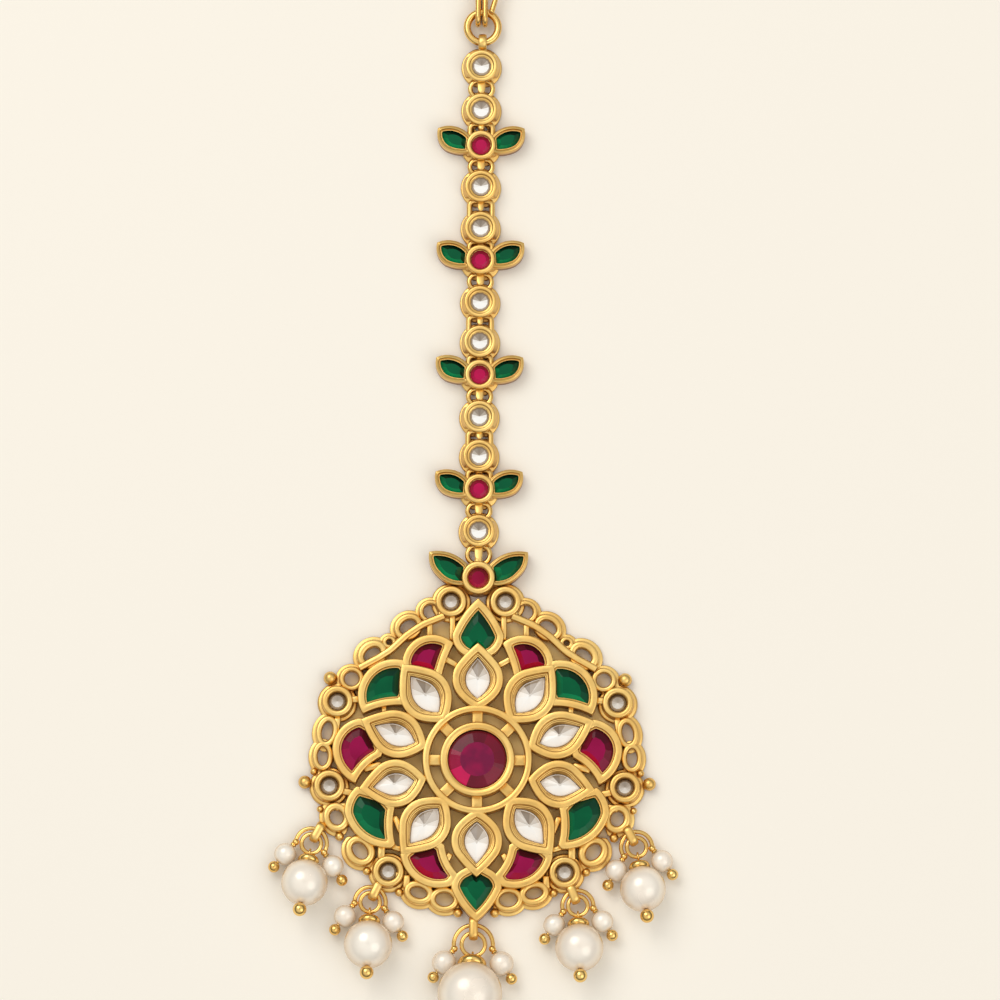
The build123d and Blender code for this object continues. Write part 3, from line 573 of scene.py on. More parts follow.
bars = (  # x, y, to x, to y, width
    (-3.3, 19.0, -3.3, 15.4, 0.8), (-6.2, 18.0, -6.2, 15.8, 0.8), (-2.6, 12.2, -4.6, 13.3, 0.8),
    (-12.0, 6.9, -12.0, 5.8, 0.7), (-15.2, 7.8, -16.6, 7.7, 0.9), (-17.9, 5.6, -18.4, 2.0, 0.9),
    (-12.2, -0.6, -14.6, -1.3, 0.9), (-15.8, -4.4, -18.0, -3.9, 0.9), (-16.6, -6.0, -18.2, -6.2, 0.9),
    (-10.6, -7.2, -9.6, -9.6, 0.8), (-12.2, -10.9, -12.2, -12.9, 1.0), (-10.9, -11.2, -9.6, -11.6, 0.7),
    (-8.9, -14.8, -9.0, -16.6, 0.9), (-9.4, -15.0, -10.4, -14.9, 0.9), (-3.3, -12.0, -4.2, -13.6, 0.8))
grains = (  # x, y, radius
    (-18.95, 10.55, 0.88), (-22.1, -2.9, 0.85), (-20.95, -1.5, 0.5), (-20.1, -6.35, 0.45), (-17.6, -9.85, 0.6),
    (-14.05, -14.3, 0.55), (-9.9, -17.0, 0.55), (-2.35, -19.6, 0.6))

motif = dict(y=23.5, eyeY=25.5, eyeTall=0.4, eyeLean=0.4, radius=2.25, cup=2.15, flat=1.56, lip=1.36, top=2.8,
             well=((1.34, 2.66), (1.32, 2.64), (1.3, 2.62)), leafTop=2.56, leafRim=0.42, leafTuck=0.2,
             leaf=((-6.35, 3.35, 0.75), (-1.3, 1.6, 0.0), (-1.5, -0.9, 0.55), (-5.3, 0.35, 0.4)))


def bothSides(rows, flipColumns=(0,)):
    # rows on the centre line stay single, the others are repeated on the right
    flip = lambda row: tuple(-value if k in flipColumns else value for k, value in enumerate(row))
    return list(rows) + [flip(row) for row in rows if row[0] != 0]


def roundedRim(top, rim):
    # rows inset, z over a rim: up the outer wall, round its edge, across, and round the inner edge
    outer, inner = edgeArcs(0, rim, top, medallion["edge"])
    return [(None, 0.0), (0.0, 0.0), *outer, (rim * 0.5, top + 0.03), *inner]


def insideBy(points, outline):
    # how deep each point lies inside a closed outline, 0 outside it: inside, a ray to the right crosses an odd number
    start, run = outline, np.roll(outline, -1, axis=0) - outline
    crosses = (start[:, 1] > points[:, None, 1]) != (start[:, 1] + run[:, 1] > points[:, None, 1])
    rise = np.where(np.abs(run[:, 1]) < 1e-9, 1e-9, run[:, 1])
    hit = points[:, None, 0] < start[:, 0] + (points[:, None, 1] - start[:, 1]) / rise * run[:, 0]
    return np.where((crosses & hit).sum(axis=1) % 2 == 1, edgeDistance(points, outline), 0)


def tucked(points, outlines, depth=medallion["tuckDepth"]):
    # what runs under a rim drops to its floor once it is depth inside it
    flat = points.reshape(-1, 3).copy()
    for outline in outlines:
        near = np.all((flat[:, :2] > outline.min(axis=0)) & (flat[:, :2] < outline.max(axis=0)), axis=1)
        if near.any():
            rows = np.flatnonzero(near)[insideBy(flat[near, :2], outline) > depth]
            flat[rows, 2] = np.minimum(flat[rows, 2], medallion["tuckTo"])
    return flat.reshape(points.shape)


def loopGrid(hole, outer, low, high, power=0.55, sides=16):
    # closed band between two outlines: a point's share of the way from hole to outer, and its height, go round a
    # rounded rectangle
    section = softSection(0.5, low, high, power, sides)
    flat = hole[None] + (0.5 + section[:, :1, None]) * (outer - hole)[None]
    return np.concatenate([flat, np.broadcast_to(section[:, 1:, None], flat.shape[:2] + (1,))], axis=2)


def colletProfile(radius, lip, top, well, edge=0.26):
    # round cup: wall, rounded rim, then the rows of its well down to a closed floor
    outer, inner = edgeArcs(radius, lip, top, edge)
    foot, back = [(radius + out, z) for out, z in medallion["cupFoot"]], medallion["back"]
    return [(0, 0), *foot, *outer, *inner, *well, (well[-1][0], back), (0, back)]


def settingRows(rim, top):
    # rounded rim with a thin lip over the stone's edge, and a fine groove between the two
    lip = ((0.0, 0.38), (0.03, 0.5), (0.07, 0.5), (0.1, 0.4), (0.17, 0.4), (0.18, 0.5), (0.03, 0.6), (0.0, 0.7))
    back = medallion["back"]
    return roundedRim(top, rim) + [(rim + inset, top - down) for inset, down in lip] + [(rim, back), (None, back)]


def eyeGrid(x, y, z, wire, wall, width, tall=0.0, lean=0.0, sides=32, around=16):
    # upright eye across the chain: a soft section turned round an axis along X; its upper half may be drawn
    # taller and lean along the chain, by lean times the square of its height over the eye's radius
    t = fullTurn(sides)
    section = softSection(wall / 2, -width / 2, width / 2, power=0.9, sides=around)
    reach = wire + joint["slack"] + wall
    radius = reach - wall / 2 + section[:, :1]
    lift = radius * np.sin(t)
    high = np.maximum(lift, 0)
    return np.stack([np.broadcast_to(x + section[:, 1:], (around, sides)),
                     y + radius * np.cos(t) + lean * high ** 2 / reach, z + lift + tall * high], axis=-1)


def leafPair(work, y, radius, made):
    # two hollowed leaves, each an outline moved in step by step, tucked under the round cup between them
    for rows in (made["leaf"], mirrored(made["leaf"])):
        inset = Inset(outlineOf([(px, py + y, rise) for px, py, rise in rows], 0.22))
        grid = inset.rows(settingRows(made["leafRim"], made["leafTop"]))
        work.grid(tucked(grid, [circlePoints(0, y, radius)], made["leafTuck"]))


def stoneLine(inset, row, grow=0.0):
    # the petal stone's outline: the petal's own, moved in and drawn narrower across the petal
    flat = inset.at(stone["petalInset"] - grow)
    run = np.array([row[2] - row[0], row[3] - row[1]])
    across = np.array([-run[1], run[0]]) / np.hypot(*run)
    out = (flat - flat.mean(axis=0)) @ across
    return flat - np.outer(out, across) * (1 - stone["petalNarrow"])


def makePetals(work, outlines):
    # rounded rims over stepped seats, each ledge band with its own painted shade
    m = medallion
    seat = [(m["rim"] + inset, z) for inset, z, _ in m["ledges"]]
    for outline, row in zip(outlines, bothSides(petals, (0, 2))):
        inset = Inset(outline)
        grid = inset.rows(roundedRim(m["petalTop"], m["rim"]) + seat)
        flats = stoneLine(inset, row, 0.06), stoneLine(inset, row, 0.05), np.broadcast_to(inset.centre, outline.shape)
        inner = [atHeight(flat, z) for flat, z in zip(flats, (m["seatLow"], m["back"], m["back"]))]
        tones = [m["petalTop"]] * (len(grid) - len(seat)) + [tone for _, _, tone in m["ledges"]]
        tones += [m["seatPaintedShade"]] * (len(inner) - 1)
        work.grid(np.concatenate([grid, inner]), tone=np.outer(tones, np.ones(len(outline))))


def makeRosette(work):
    # centre bezel, outer ring and the spokes between them
    m = medallion
    inner, outer = m["bezel"]
    top = m["bezelTop"]
    arc, _ = edgeArcs(outer, inner, top, m["bezelEdge"])
    steps = [(inner + out, top - down) for out, down in m["bezelSteps"]]
    work.grid(lathe([(0, 0), (outer, 0), *arc, *steps, (inner, m["back"]), (0, m["back"])], sides=96))
    hole, rim = [circlePoints(0, 0, radius, 128) for radius in m["ring"]]
    work.grid(loopGrid(hole, rim, 0, m["ringTop"], 0.35, 24), loop=True)
    middle, half = (outer + m["ring"][0]) / 2, m["spokeTop"] / 2
    for turn in np.arange(m["spokes"]) * 360 / m["spokes"]:
        x, y, z = polarPoint((0, 0), middle, turn, half)
        work.grid(softBlock(x, y, z, m["spokeLength"] / 2, m["spokeWidth"] / 2, half, turn, 0.22))


def makeBorder(work, covers):
    # loops on a low flange, collets, tie bars, rails and solder grains; what runs under a rim is tucked away
    m = medallion
    for x, y, a, b, holeA, holeB, turn in bothSides(loops, (0, 6)):
        hole, edge, spread = [ellipsePoints(x, y, *axes, turn) for axes in (
            (holeA, holeB), (a, b), (a + m["flange"], b + m["flange"]))]
        work.grid(tucked(loopGrid(hole, edge, 0, m["loopTop"]), covers), loop=True)
        outside = (np.linalg.norm(spread, axis=1) - m["flangeFrom"]) / m["flangeBlend"] / 2 + 0.5
        flange = edge + (spread - edge) * np.clip(outside, 0, 1)[:, None]
        work.grid(loopGrid((hole + edge) / 2, flange, 0, m["flangeTop"], 0.35, 12), loop=True)
    for place in bothSides(collets):
        work.grid(lathe(colletProfile(top=m["colletTop"], **m["collet"]), place))
        work.grid(lathe(m["skirt"], place))
    for row in bothSides(bars, (0, 2)):
        work.grid(tucked(softBar(*row, m["barLow"], m["barTop"]), covers))
    section = softSection(m["railHalf"], m["barLow"], m["railTop"], 0.5, 20)
    for side in (1, -1):
        path = roundedPath([(side * x, y, 0) for x, y in rail], m["railBend"], steps=7)
        work.grid(tucked(sweep(path, section), covers))
    for x, y, radius in bothSides(grains):
        work.grid(ballPoints((x, y, max(radius, m["grainLow"])), radius, 12, 22))


def makeMotif(work):
    # the top ornament: two leaves, a cup and the eye of the lowest jump ring
    leafPair(work, motif["y"], motif["radius"], motif)
    cup = colletProfile(motif["cup"], motif["lip"], motif["top"], motif["well"])
    work.grid(lathe(cup, (0, motif["y"]), reach=wallAt(motif["flat"], free)))
    work.grid(eyeGrid(0, motif["eyeY"], joint["z"], joint["wire"], joint["eyeWall"], joint["wideEye"],
                      motif["eyeTall"], motif["eyeLean"]), loop=True)


def makeMedallion():
    # one casting: petals, cells between them, rosette, border, top ornament and the five lugs
    work = Surface()
    petalOutlines = [outlineOf(petalRows(*row)) for row in bothSides(petals, (0, 2))]
    cellOutlines = [outlineOf(rows) for rows in cells.values()]
    cellOutlines += [outlineOf(mirrored(rows)) for name, rows in cells.items() if "Drop" not in name]
    makePetals(work, petalOutlines)
    for outline in cellOutlines:
        work.grid(tucked(Inset(outline).rows(settingRows(medallion["rim"], medallion["cellTop"])), petalOutlines))
    makeRosette(work)
    makeBorder(work, petalOutlines + cellOutlines)
    makeMotif(work)
    for one in drops:
        work.grid(lugGrid(one), loop=True)
    settle(work, "medallionSetting", castGold, "medallion_frame", 50)


joint = dict(z=0.9, wire=0.32, slack=0.12, eyeWall=0.38, half=1.45, wideEye=1.05, narrowEye=0.8, bailTall=0.4,
             bight=0.37, bightBend=0.6, gap=0.06)
link = dict(rims=dict(round=(2.1, 1.5), leaf=(1.93, 1.28)), bodyHalf=1.35, neckTop=1.78, top=2.35, edge=0.24, sides=72,
            wall=((0.3, 0.3), (0.3, 1.1), (0.22, 1.4), (0.02, 1.77), (0.02, 1.79)),     # past the rim, height
            groove=(0.02, 1.93), well=((1.32, 1.88), (1.3, 1.76), (1.15, 1.72), (1.15, 0.8)),
            # the foot's two tones: its sides as lit, and painted shade where it runs towards the joints, from the given
            # share of the sine on
            foot=2.62, footReach=2.5, slotHalf=0.8, footPaintedShade=(0.5, 1.3), paintedShadeFrom=0.78, bightY=1.0,
            plate=((0, 0), (2.5, 0), (2.62, 0.12), (2.62, 0.36), (2.58, 0.45), (2.48, 0.5), (0, 0.5)),
            leafTop=2.25, leafRim=0.42, leafTuck=0.15,
            leaf=((-5.6, 2.2, 0.78), (-1.3, 1.1, 0.0), (-1.5, -1.0, 0.25), (-4.5, -0.6, 0.5)))
links = (("round", 90.4), ("round", 84.7), ("leaf", 80.0), ("round", 74.6), ("round", 69.2), ("leaf", 65.0),
         ("round", 59.5), ("round", 54.3), ("leaf", 50.0), ("round", 44.5), ("round", 39.4), ("leaf", 35.1),
         ("round", 29.65))
topRing = dict(centre=(0.1, 95.6), radius=2.0, wire=0.48, eyeWall=0.4, eyeWidth=1.05, eyeSlack=0.12,
               root=(2.05, -0.25, 0.55, 0.65))      # up the link, height, half-length, half-height
# the hook's tone is the height its painted shade is measured against, below the wires' top so most of them stay lit
hook = dict(wire=0.35, tone=0.6, shankX=-0.5, twinX=0.4, collarX=-0.05, collarZ=1.65, collar=(100.1, 1.4, 1.05),
            collarEdge=((0, 0.2), (0.06, 0.06), (0.2, 0)), start=(100.6, 1.3), lower=98.9, turnY=95.95, upper=99.2,
            part=(101.0, 2.05), startBend=0.5, partBend=1.5, bow=((113.5, 0.45), (3.4, 113.5, 0.45), (3.4, 105.0, 1.5)),
            bowBends=[1.9, 1.9, 6.0], tip=(1.3, 97.6), tipMore=0.02)
eyeReach = link["bodyHalf"] + joint["wire"] + joint["slack"]
topRing["z"] = 2 * hook["wire"] + joint["slack"] + topRing["wire"] + 0.03


def heldBack(reach, angle):
    # a straight wall across the chain at reach: radius = reach / size of the sine
    return reach / np.maximum(np.abs(np.sin(angle)), 1e-3)


def wallAt(up, down):
    # holds a round body back to straight walls up and down the chain, under its rim
    return lambda angle, z: np.where(z < link["neckTop"], heldBack(np.where(np.sin(angle) > 0, up, down), angle), free)


def footEdge(index):
    # round foot, straight where it meets the next one half way, with a slot for the next link's eye
    y = links[index][1]
    above = free if index == 0 else (links[index - 1][1] - y) / 2 - joint["gap"]
    below = free if index == len(links) - 1 else (y - links[index + 1][1]) / 2 - joint["gap"]
    eyeEnd = eyeReach + joint["wire"] + joint["slack"] + joint["eyeWall"]
    upEnd = topRing["centre"][1] if index == 0 else links[index - 1][1] - eyeEnd
    downEnd = motif["y"] + motif["radius"] if index == len(links) - 1 else links[index + 1][1] + eyeEnd
    slots = [min(link["footReach"], gap - joint["slack"]) for gap in (upEnd - y, y - downEnd)]

    def reach(angle, _):
        up = np.sin(angle) > 0
        slot = link["foot"] * np.abs(np.cos(angle)) < link["slotHalf"]
        return heldBack(np.where(slot, np.where(up, *slots), np.where(up, above, below)), angle)
    return reach


def bailLean(index):
    # how far the eye below a link leans to end at the next rim: reach / radius = lean + 1 / (4 lean)
    nextY, nextR = motif["y"], motif["radius"]
    if index < len(links) - 1:
        kind, nextY = links[index + 1]
        nextR = link["rims"][kind][0]
    reach = links[index][1] - nextY - nextR - eyeReach - joint["gap"]
    share = reach / (joint["wire"] + joint["slack"] + joint["eyeWall"])
    return (share + math.sqrt(share ** 2 - 1)) / 2 if share > 1 else 0.0


def isWide(index):
    # whether a flat jump ring, and not a wire bight, joins link index to the one above
    return index in (0, 1, len(links)) or links[index - 1][0] == "leaf"


def makeLink(index):
    # turned cup on a turned foot, two leaves or none, and an eye or a wire bight at each end
    kind, y = links[index]
    radius, lip = link["rims"][kind]
    work = Surface()
    outer, inner = edgeArcs(radius, lip, link["top"], link["edge"])
    wall, (inset, groove), well = [(radius + out, z) for out, z in link["wall"]], link["groove"], link["well"]
    profile = [(0, wall[0][1]), *wall, *outer, *inner, (lip - inset, groove), *well, (0, well[-1][1])]
    work.grid(lathe(profile, (0, y), link["sides"], wallAt(link["bodyHalf"], link["bodyHalf"])))
    # painted shade: the foot plate is darker towards the joints above and below
    middle = fullTurn(link["sides"]) + math.pi / link["sides"]
    light, dark = link["footPaintedShade"]
    shade = np.where(np.abs(np.sin(middle)) > link["paintedShadeFrom"], dark, light)
    work.grid(lathe(link["plate"], (0, y), link["sides"], footEdge(index)), tone=shade)
    if kind == "leaf":
        leafPair(work, y, radius, link)
    for side, number in ((1, index), (-1, index + 1)):
        if number == 0 or (side == 1 and not isWide(number)):
            continue
        width = joint["wideEye"] if isWide(number) else joint["narrowEye"]
        lean = bailLean(index) if side == -1 else 0.0
        work.grid(eyeGrid(0, y + side * eyeReach, joint["z"], joint["wire"], joint["eyeWall"], width,
                          joint["bailTall"] if lean > 0 else 0.0, side * lean), loop=True)
    if index == 0:
        x, wire, width = topRing["centre"][0], topRing["wire"] + topRing["eyeSlack"], topRing["eyeWidth"]
        work.grid(eyeGrid(x, topRing["centre"][1] - topRing["radius"], topRing["z"], wire, topRing["eyeWall"], width),
                  loop=True)
        up, rise, halfLength, halfHeight = topRing["root"]
        work.grid(softBlock(x, y + up, topRing["z"] + rise, width / 2, halfLength, halfHeight))
    elif not isWide(index):
        low, high, half, z = y + link["bightY"], links[index - 1][1] - eyeReach, joint["half"], joint["z"]
        corners = [(-half, low, z), (-half, high, z), (half, high, z), (half, low, z)]
        work.grid(tube(roundedPath(corners, joint["bightBend"]), joint["bight"]))
    settle(work, f"chainLink{index + 1:02d}", castGold, f"link_{index + 1:02d}", 50)


def makeChainRings():
    # flat jump rings: a wire along a rounded rectangle from eye to eye
    work = Surface()
    for number in range(1, len(links) + 1):
        if isWide(number):
            high = links[number - 1][1] - eyeReach
            low = motif["eyeY"] if number == len(links) else links[number][1] + eyeReach
            half, z = joint["half"], joint["z"]
            corners = [(-half, high, z), (-half, low, z), (half, low, z), (half, high, z)]
            path = roundedPath(corners, min(half, (high - low) / 2) - 0.02, closed=True, steps=12)
            work.grid(tube(path, joint["wire"], closed=True), loop=True)
    settle(work, "jumpRings", wireGold, "chain_rings")


def makeTopRing():
    # a wire carried round a circle
    path = atHeight(circlePoints(*topRing["centre"], topRing["radius"], 64), topRing["z"])
    work = Surface().grid(tube(path, topRing["wire"], closed=True, sides=20), loop=True)
    settle(work, "topRing", wireGold, "top_ring")


def makeHook():
    # two strands bent back through the top ring, one of them carried on into the open bow, and a collar round both
    work = Surface()
    wire, low = hook["wire"], hook["wire"] + 0.03
    high = topRing["z"] + topRing["wire"] + joint["slack"] + wire
    turn, part = (high - low) / 2 - 0.01, hook["part"]
    for x in (hook["shankX"], hook["twinX"]):
        strand = [(x, *hook["start"]), (x, hook["lower"], low), (x, hook["turnY"], low), (x, hook["turnY"], high),
                  (x, hook["upper"], high), (x, *part)]
        path = roundedPath(strand, [hook["startBend"], turn, turn, hook["partBend"]])
        work.grid(tube(path, wire, up=(1, 0, 0)), tone=hook["tone"])
    x, tip = hook["shankX"], (*hook["tip"], high)
    bow = [(x, *part), (x, *hook["bow"][0]), *hook["bow"][1:], tip]
    work.grid(tube(roundedPath(bow, hook["bowBends"], steps=16), wire), tone=hook["tone"])
    work.grid(ballPoints(tip, wire + hook["tipMore"]))
    start, length, radius = hook["collar"]
    edge = [(along, radius - down) for along, down in hook["collarEdge"]]
    edge += [(length - along, down) for along, down in edge[::-1]]
    work.grid(latheAlong([(0, 0), *edge, (length, 0)], (hook["collarX"], start, hook["collarZ"]), (0, 1, 0)))
    settle(work, "hairHook", wireGold, "hair_hook")
    print("chain and hook made")


dropParts = ("ring", "ringR", "hangerR", "lugTurn", "pearl", "pearlR", "ends", "pins", "smallR")
drops = [dict(zip(dropParts, row)) for row in (     # directions in degrees from +X
    ((-21.2, -10.9), 1.25, 2.0, 62, (-22.0, -16.05), 3.0, (174, 326), (229, 303), 1.4),
    ((-13.6, -18.4), 1.25, 2.0, 65, (-13.8, -23.95), 3.1, (183, 338), (234, 303), 1.4),
    ((-0.35, -23.75), 1.5, 2.5, 90, (-0.75, -30.3), 4.15, (193, 347), (234, 303), 1.55),
    ((13.0, -18.7), 1.25, 2.0, 112, (13.2, -24.2), 3.1, (202, 352), (236, 305), 1.4),
    ((20.5, -11.1), 1.25, 2.0, 118, (21.3, -16.6), 2.95, (217, 356), (241, 308), 1.4))]
drop = dict(wire=0.22, thick=0.06, slack=0.12, curveSlack=0.12, lugWidth=1.15, lugWall=0.55, lugRoot=0.5,
            pin=0.2, pinHole=0.3, eyeWire=0.15, ball=0.75, endBall=0.9, knuckle=0.46, knuckleToPearl=0.65,
            bead=((0.3, 0), (0.3, 0.3), (0.42, 0.42), (0.56, 0.42), (0.62, 0.25), (0.62, 0)),
            capGap=0.06, capPearl=3.0, brim=0.4, brimMore=0.12, bore=(0.25, 0.6, 0.95),
            cap=(   # height on a pearl of radius capPearl, share of the brim
                (0.03, 0.88), (0.14, 0.98), (0.34, 1.04), (0.58, 1.04), (0.78, 0.97), (0.91, 0.84), (0.97, 0.66),
                (1.0, 0.46), (1.06, 0.37), (1.16, 0.32), (1.18, 0.0)))


def polarPoint(centre, radius, degrees, z=0.0):
    # centre + radius x cosine and sine of an angle
    turn = math.radians(degrees)
    return np.array([centre[0] + radius * math.cos(turn), centre[1] + radius * math.sin(turn), z])


def lugGrid(one):
    # thick round bail over the ring and the hanger: a soft section carried round an upright loop along its turn
    turn = math.radians(one["lugTurn"])
    ahead, side = np.array([math.cos(turn), math.sin(turn), 0]), np.array([math.sin(turn), -math.cos(turn), 0])
    half = drop["wire"] + drop["slack"] + drop["lugWall"] / 2
    near = one["ringR"] - half - drop["curveSlack"]
    far = one["hangerR"] + half + drop["lugRoot"] / 2
    centre = np.array([*one["ring"], one["smallR"]])
    corners = [centre + ahead * a + np.array([0, 0, b])
               for a, b in ((near, -half), (far, -half), (far, half), (near, half))]
    path = roundedPath(corners, half - 0.01, closed=True, steps=12)
    section = softSection(drop["lugWall"] / 2, -drop["lugWidth"] / 2, drop["lugWidth"] / 2, power=1.0, sides=20)
    return sweep(path, section, closed=True, up=side)


def drilledPearl(centre, radius, direction):
    # ball with a straight hole: the outside from hole to hole, then back down the bore
    reach = math.asin(drop["pinHole"] / radius)
    turn = np.linspace(reach, math.pi - reach, 33)
    outside = np.column_stack([-radius * np.cos(turn), radius * np.sin(turn)])
    return latheAlong(outside, centre, direction, 48)


def sidePins(one):
    # start, small pearl's centre, end and direction of the two headpins
    for endTurn, pinTurn in zip(one["ends"], one["pins"]):
        start = polarPoint(one["ring"], one["hangerR"], endTurn, one["smallR"])
        run = polarPoint((0, 0), 1, pinTurn)
        small = start + run * (drop["knuckleToPearl"] + one["smallR"])
        yield start, small, small + run * (one["smallR"] + drop["ball"] + 0.04), run


def makeDropPin(number, one, middle, eye, flat, run):
    # eye, rod, end ball, and a disc with a neck turned round the rod, which follows the pearl underneath
    work = Surface()
    eyeR = drop["wire"] + drop["slack"] + drop["eyeWire"]
    turn = fullTurn(30)[:, None]
    loop = eye + eyeR * (np.cos(turn) * flat + np.sin(turn) * np.array([0, 0, 1.0]))
    work.grid(tube(loop, drop["eyeWire"], True, 12, np.array([flat[1], -flat[0], 0])), loop=True)
    end = middle + run * (one["pearlR"] + drop["endBall"] + 0.02)
    work.grid(tube(np.array([eye + run * eyeR, end]), drop["pin"]))
    work.grid(ballPoints(end, drop["endBall"], 25, 44))
    cup, share = one["pearlR"] + drop["capGap"], one["pearlR"] / drop["capPearl"]
    brim = drop["brim"] * one["pearlR"] + drop["brimMore"]
    low = math.sqrt(cup ** 2 - brim ** 2)
    dish = [(math.sqrt(cup ** 2 - (brim * w) ** 2), brim * w) for w in drop["bore"]]
    dish += [(low + up * share, brim * w) for up, w in drop["cap"]]
    work.grid(latheAlong(dish, middle, -run, 44), openStart=True)
    settle(work, f"dropPin{number}", polishedGold, f"drop_pin_{number}")


def makeDrop(number, one):
    # large pearl on its pin, and an open hoop with two headpins
    ring, middle = np.array([*one["ring"], one["smallR"]]), np.array([*one["pearl"], one["pearlR"]])
    flat = (middle - ring) * (1, 1, 0)
    flat /= np.linalg.norm(flat)
    eye = ring + flat * one["ringR"]
    run = (middle - eye) / np.linalg.norm(middle - eye)
    work = Surface().grid(drilledPearl(middle, one["pearlR"], run), loop=True)
    settle(work, f"largePearl{number}", pearlLustre, f"large_pearl_{number}")
    makeDropPin(number, one, middle, eye, flat, run)

    work = Surface()
    first, last = one["ends"]
    hoop = [polarPoint(one["ring"], one["hangerR"], turn, one["smallR"]) for turn in np.linspace(last - 360, first, 40)]
    work.grid(tube(hoop, drop["wire"] + drop["thick"]))
    for start, _, tip, run in sidePins(one):
        work.grid(ballPoints(start, drop["knuckle"]))
        work.grid(latheAlong(drop["bead"], start, run, 20))
        work.grid(tube(np.array([start, tip]), drop["pin"]))
        work.grid(ballPoints(tip, drop["ball"], 23, 40))
    settle(work, f"dropHanger{number}", polishedGold, f"drop_hanger_{number}")


def makeDropRings():
    # the rings that the large pearls hang from, and the small pearls of all drops
    work, pearls = Surface(), Surface()
    for one in drops:
        path = atHeight(circlePoints(*one["ring"], one["ringR"], 48), one["smallR"])
        work.grid(tube(path, drop["wire"] + drop["thick"], closed=True), loop=True)
        for _, small, _, run in sidePins(one):
            pearls.grid(drilledPearl(small, one["smallR"], run), loop=True)
    settle(work, "dropRings", polishedGold, "drop_rings")
    settle(pearls, "smallPearls", pearlLustre, "small_pearls")


stone = dict(low=0.89, centreRadius=3.7, centreTable=2.2, centreGirdle=2.3, centreTop=2.75, centreSides=32,
             centrePaintedFacets=(0.22, 0.26, 0.12, 0.16, 0.46, 0.78, 0.2, 0.32),     # painted light and shade of the crown facets, from +X anticlockwise
             petalInset=1.42, petalNarrow=0.83, petalGirdle=1.35, petalTop=1.9, petalTable=0.1,
             petalFacetShades=((95, 0.72), (62, 0.5), (34, 0.26)), petalSplitShade=0.1,     # degrees from the head, painted shade tone
             roundSides=12, tableGlint=((0.0, 0.2, 0.45, 0.6), (0.12, 0.3, 0.75, 1.0)),     # fall, painted glint tone on the table
             collet=dict(radius=1.07, girdle=1.5, top=1.86, table=0.72),
             clearLink=dict(radius=1.07, girdle=1.86, top=2.1, table=0.8, shelf=1.22),
             rubyLink=dict(radius=1.07, girdle=1.86, top=2.12, table=0.6, shelf=1.22),
             motif=dict(radius=1.4, girdle=2.1, top=2.55, table=0.6))


def gemRings(work, rings, tones):
    # flat facets between rings of equal counts: rings are rows x, y, z; tones one array for each band
    grid = np.array(rings)
    ends = np.broadcast_to(grid.mean(axis=1, keepdims=True), grid.shape)
    work.grid(np.vstack([ends[:1], grid, ends[-1:]]), tone=np.array(tones))


def facetedRound(work, centre, crownTones, tableTone, radius, girdle, top, table, shelf=None):
    # straight sides, sloping facets and a flat table; a shelf is the wider radius the stone has above its seat
    sides, wide = stone["roundSides"], shelf or radius
    turn = fullTurn(sides) + math.pi / sides
    out = np.column_stack([np.cos(turn), np.sin(turn)])
    rings = [atHeight(np.array(centre) + out * r, z) for r, z in (
        (radius, stone["low"]), (radius, girdle - 0.1), (wide, girdle - 0.02), (wide, girdle), (wide * table, top))]
    # the sides take a dark tone; the crown and table tones passed in are painted light and shade
    gemRings(work, rings, [np.full(sides, 0.05)] * 4 + [crownTones, np.full(sides, tableTone)])


def makeCentreRuby():
    # round girdle and table with eight broad crown facets between them: the girdle band painted dark as shade, each
    # crown facet painted lighter or darker, the table at full tone
    work, sides = Surface(), stone["centreSides"]
    rings = [atHeight(circlePoints(0, 0, stone[r], sides), stone[z]) for r, z in (
        ("centreRadius", "low"), ("centreRadius", "centreGirdle"), ("centreTable", "centreTop"))]
    facet = np.round(fullTurn(sides) / (math.pi / 4) + 1e-6).astype(int) % 8
    dark = np.full(sides, 0.02)
    gemRings(work, rings, [dark, dark, np.array(stone["centrePaintedFacets"])[facet], np.ones(sides)])
    settle(work, "centreRuby", rubyGlass, "centre_ruby", 0)


def petalPaintedFacets(angle):
    # painted light and shade: a grey wedge of painted shade at the head of the stone, split down its middle with a
    # darker half, pale shoulders and a white painted highlight at the foot
    lean = (np.degrees(angle) - 90 + 180) % 360 - 180
    tone = np.ones(len(lean))
    for within, value in stone["petalFacetShades"]:
        tone = np.where(np.abs(lean) < within, value, tone)
    return np.where((lean > 0) & (lean < stone["petalFacetShades"][-1][0]), stone["petalSplitShade"], tone)


def makePetalStones():
    # four rings: the stone's outline at its foot, its girdle and just above it, then drawn in to a small table
    for k, row in enumerate(bothSides(petals, (0, 2))):
        flat = stoneLine(Inset(outlineOf(petalRows(*row), 0.9)), row)
        centre = flat.mean(axis=0)
        middle = (flat + np.roll(flat, -1, axis=0)) / 2 - centre
        pale = np.full(len(flat), 0.6)
        rings = [atHeight(centre + (flat - centre) * share, z) for share, z in (
            (1, stone["low"]), (1, stone["petalGirdle"]), (0.93, stone["petalGirdle"] + 0.06),
            (stone["petalTable"], stone["petalTop"]))]
        work = Surface()
        gemRings(work, rings, [pale, pale, pale + 0.3, petalPaintedFacets(np.arctan2(middle[:, 1], middle[:, 0])), pale])
        settle(work, f"petalStone{k + 1:02d}", clearGlass, f"petal_stone_{k + 1:02d}", 0)


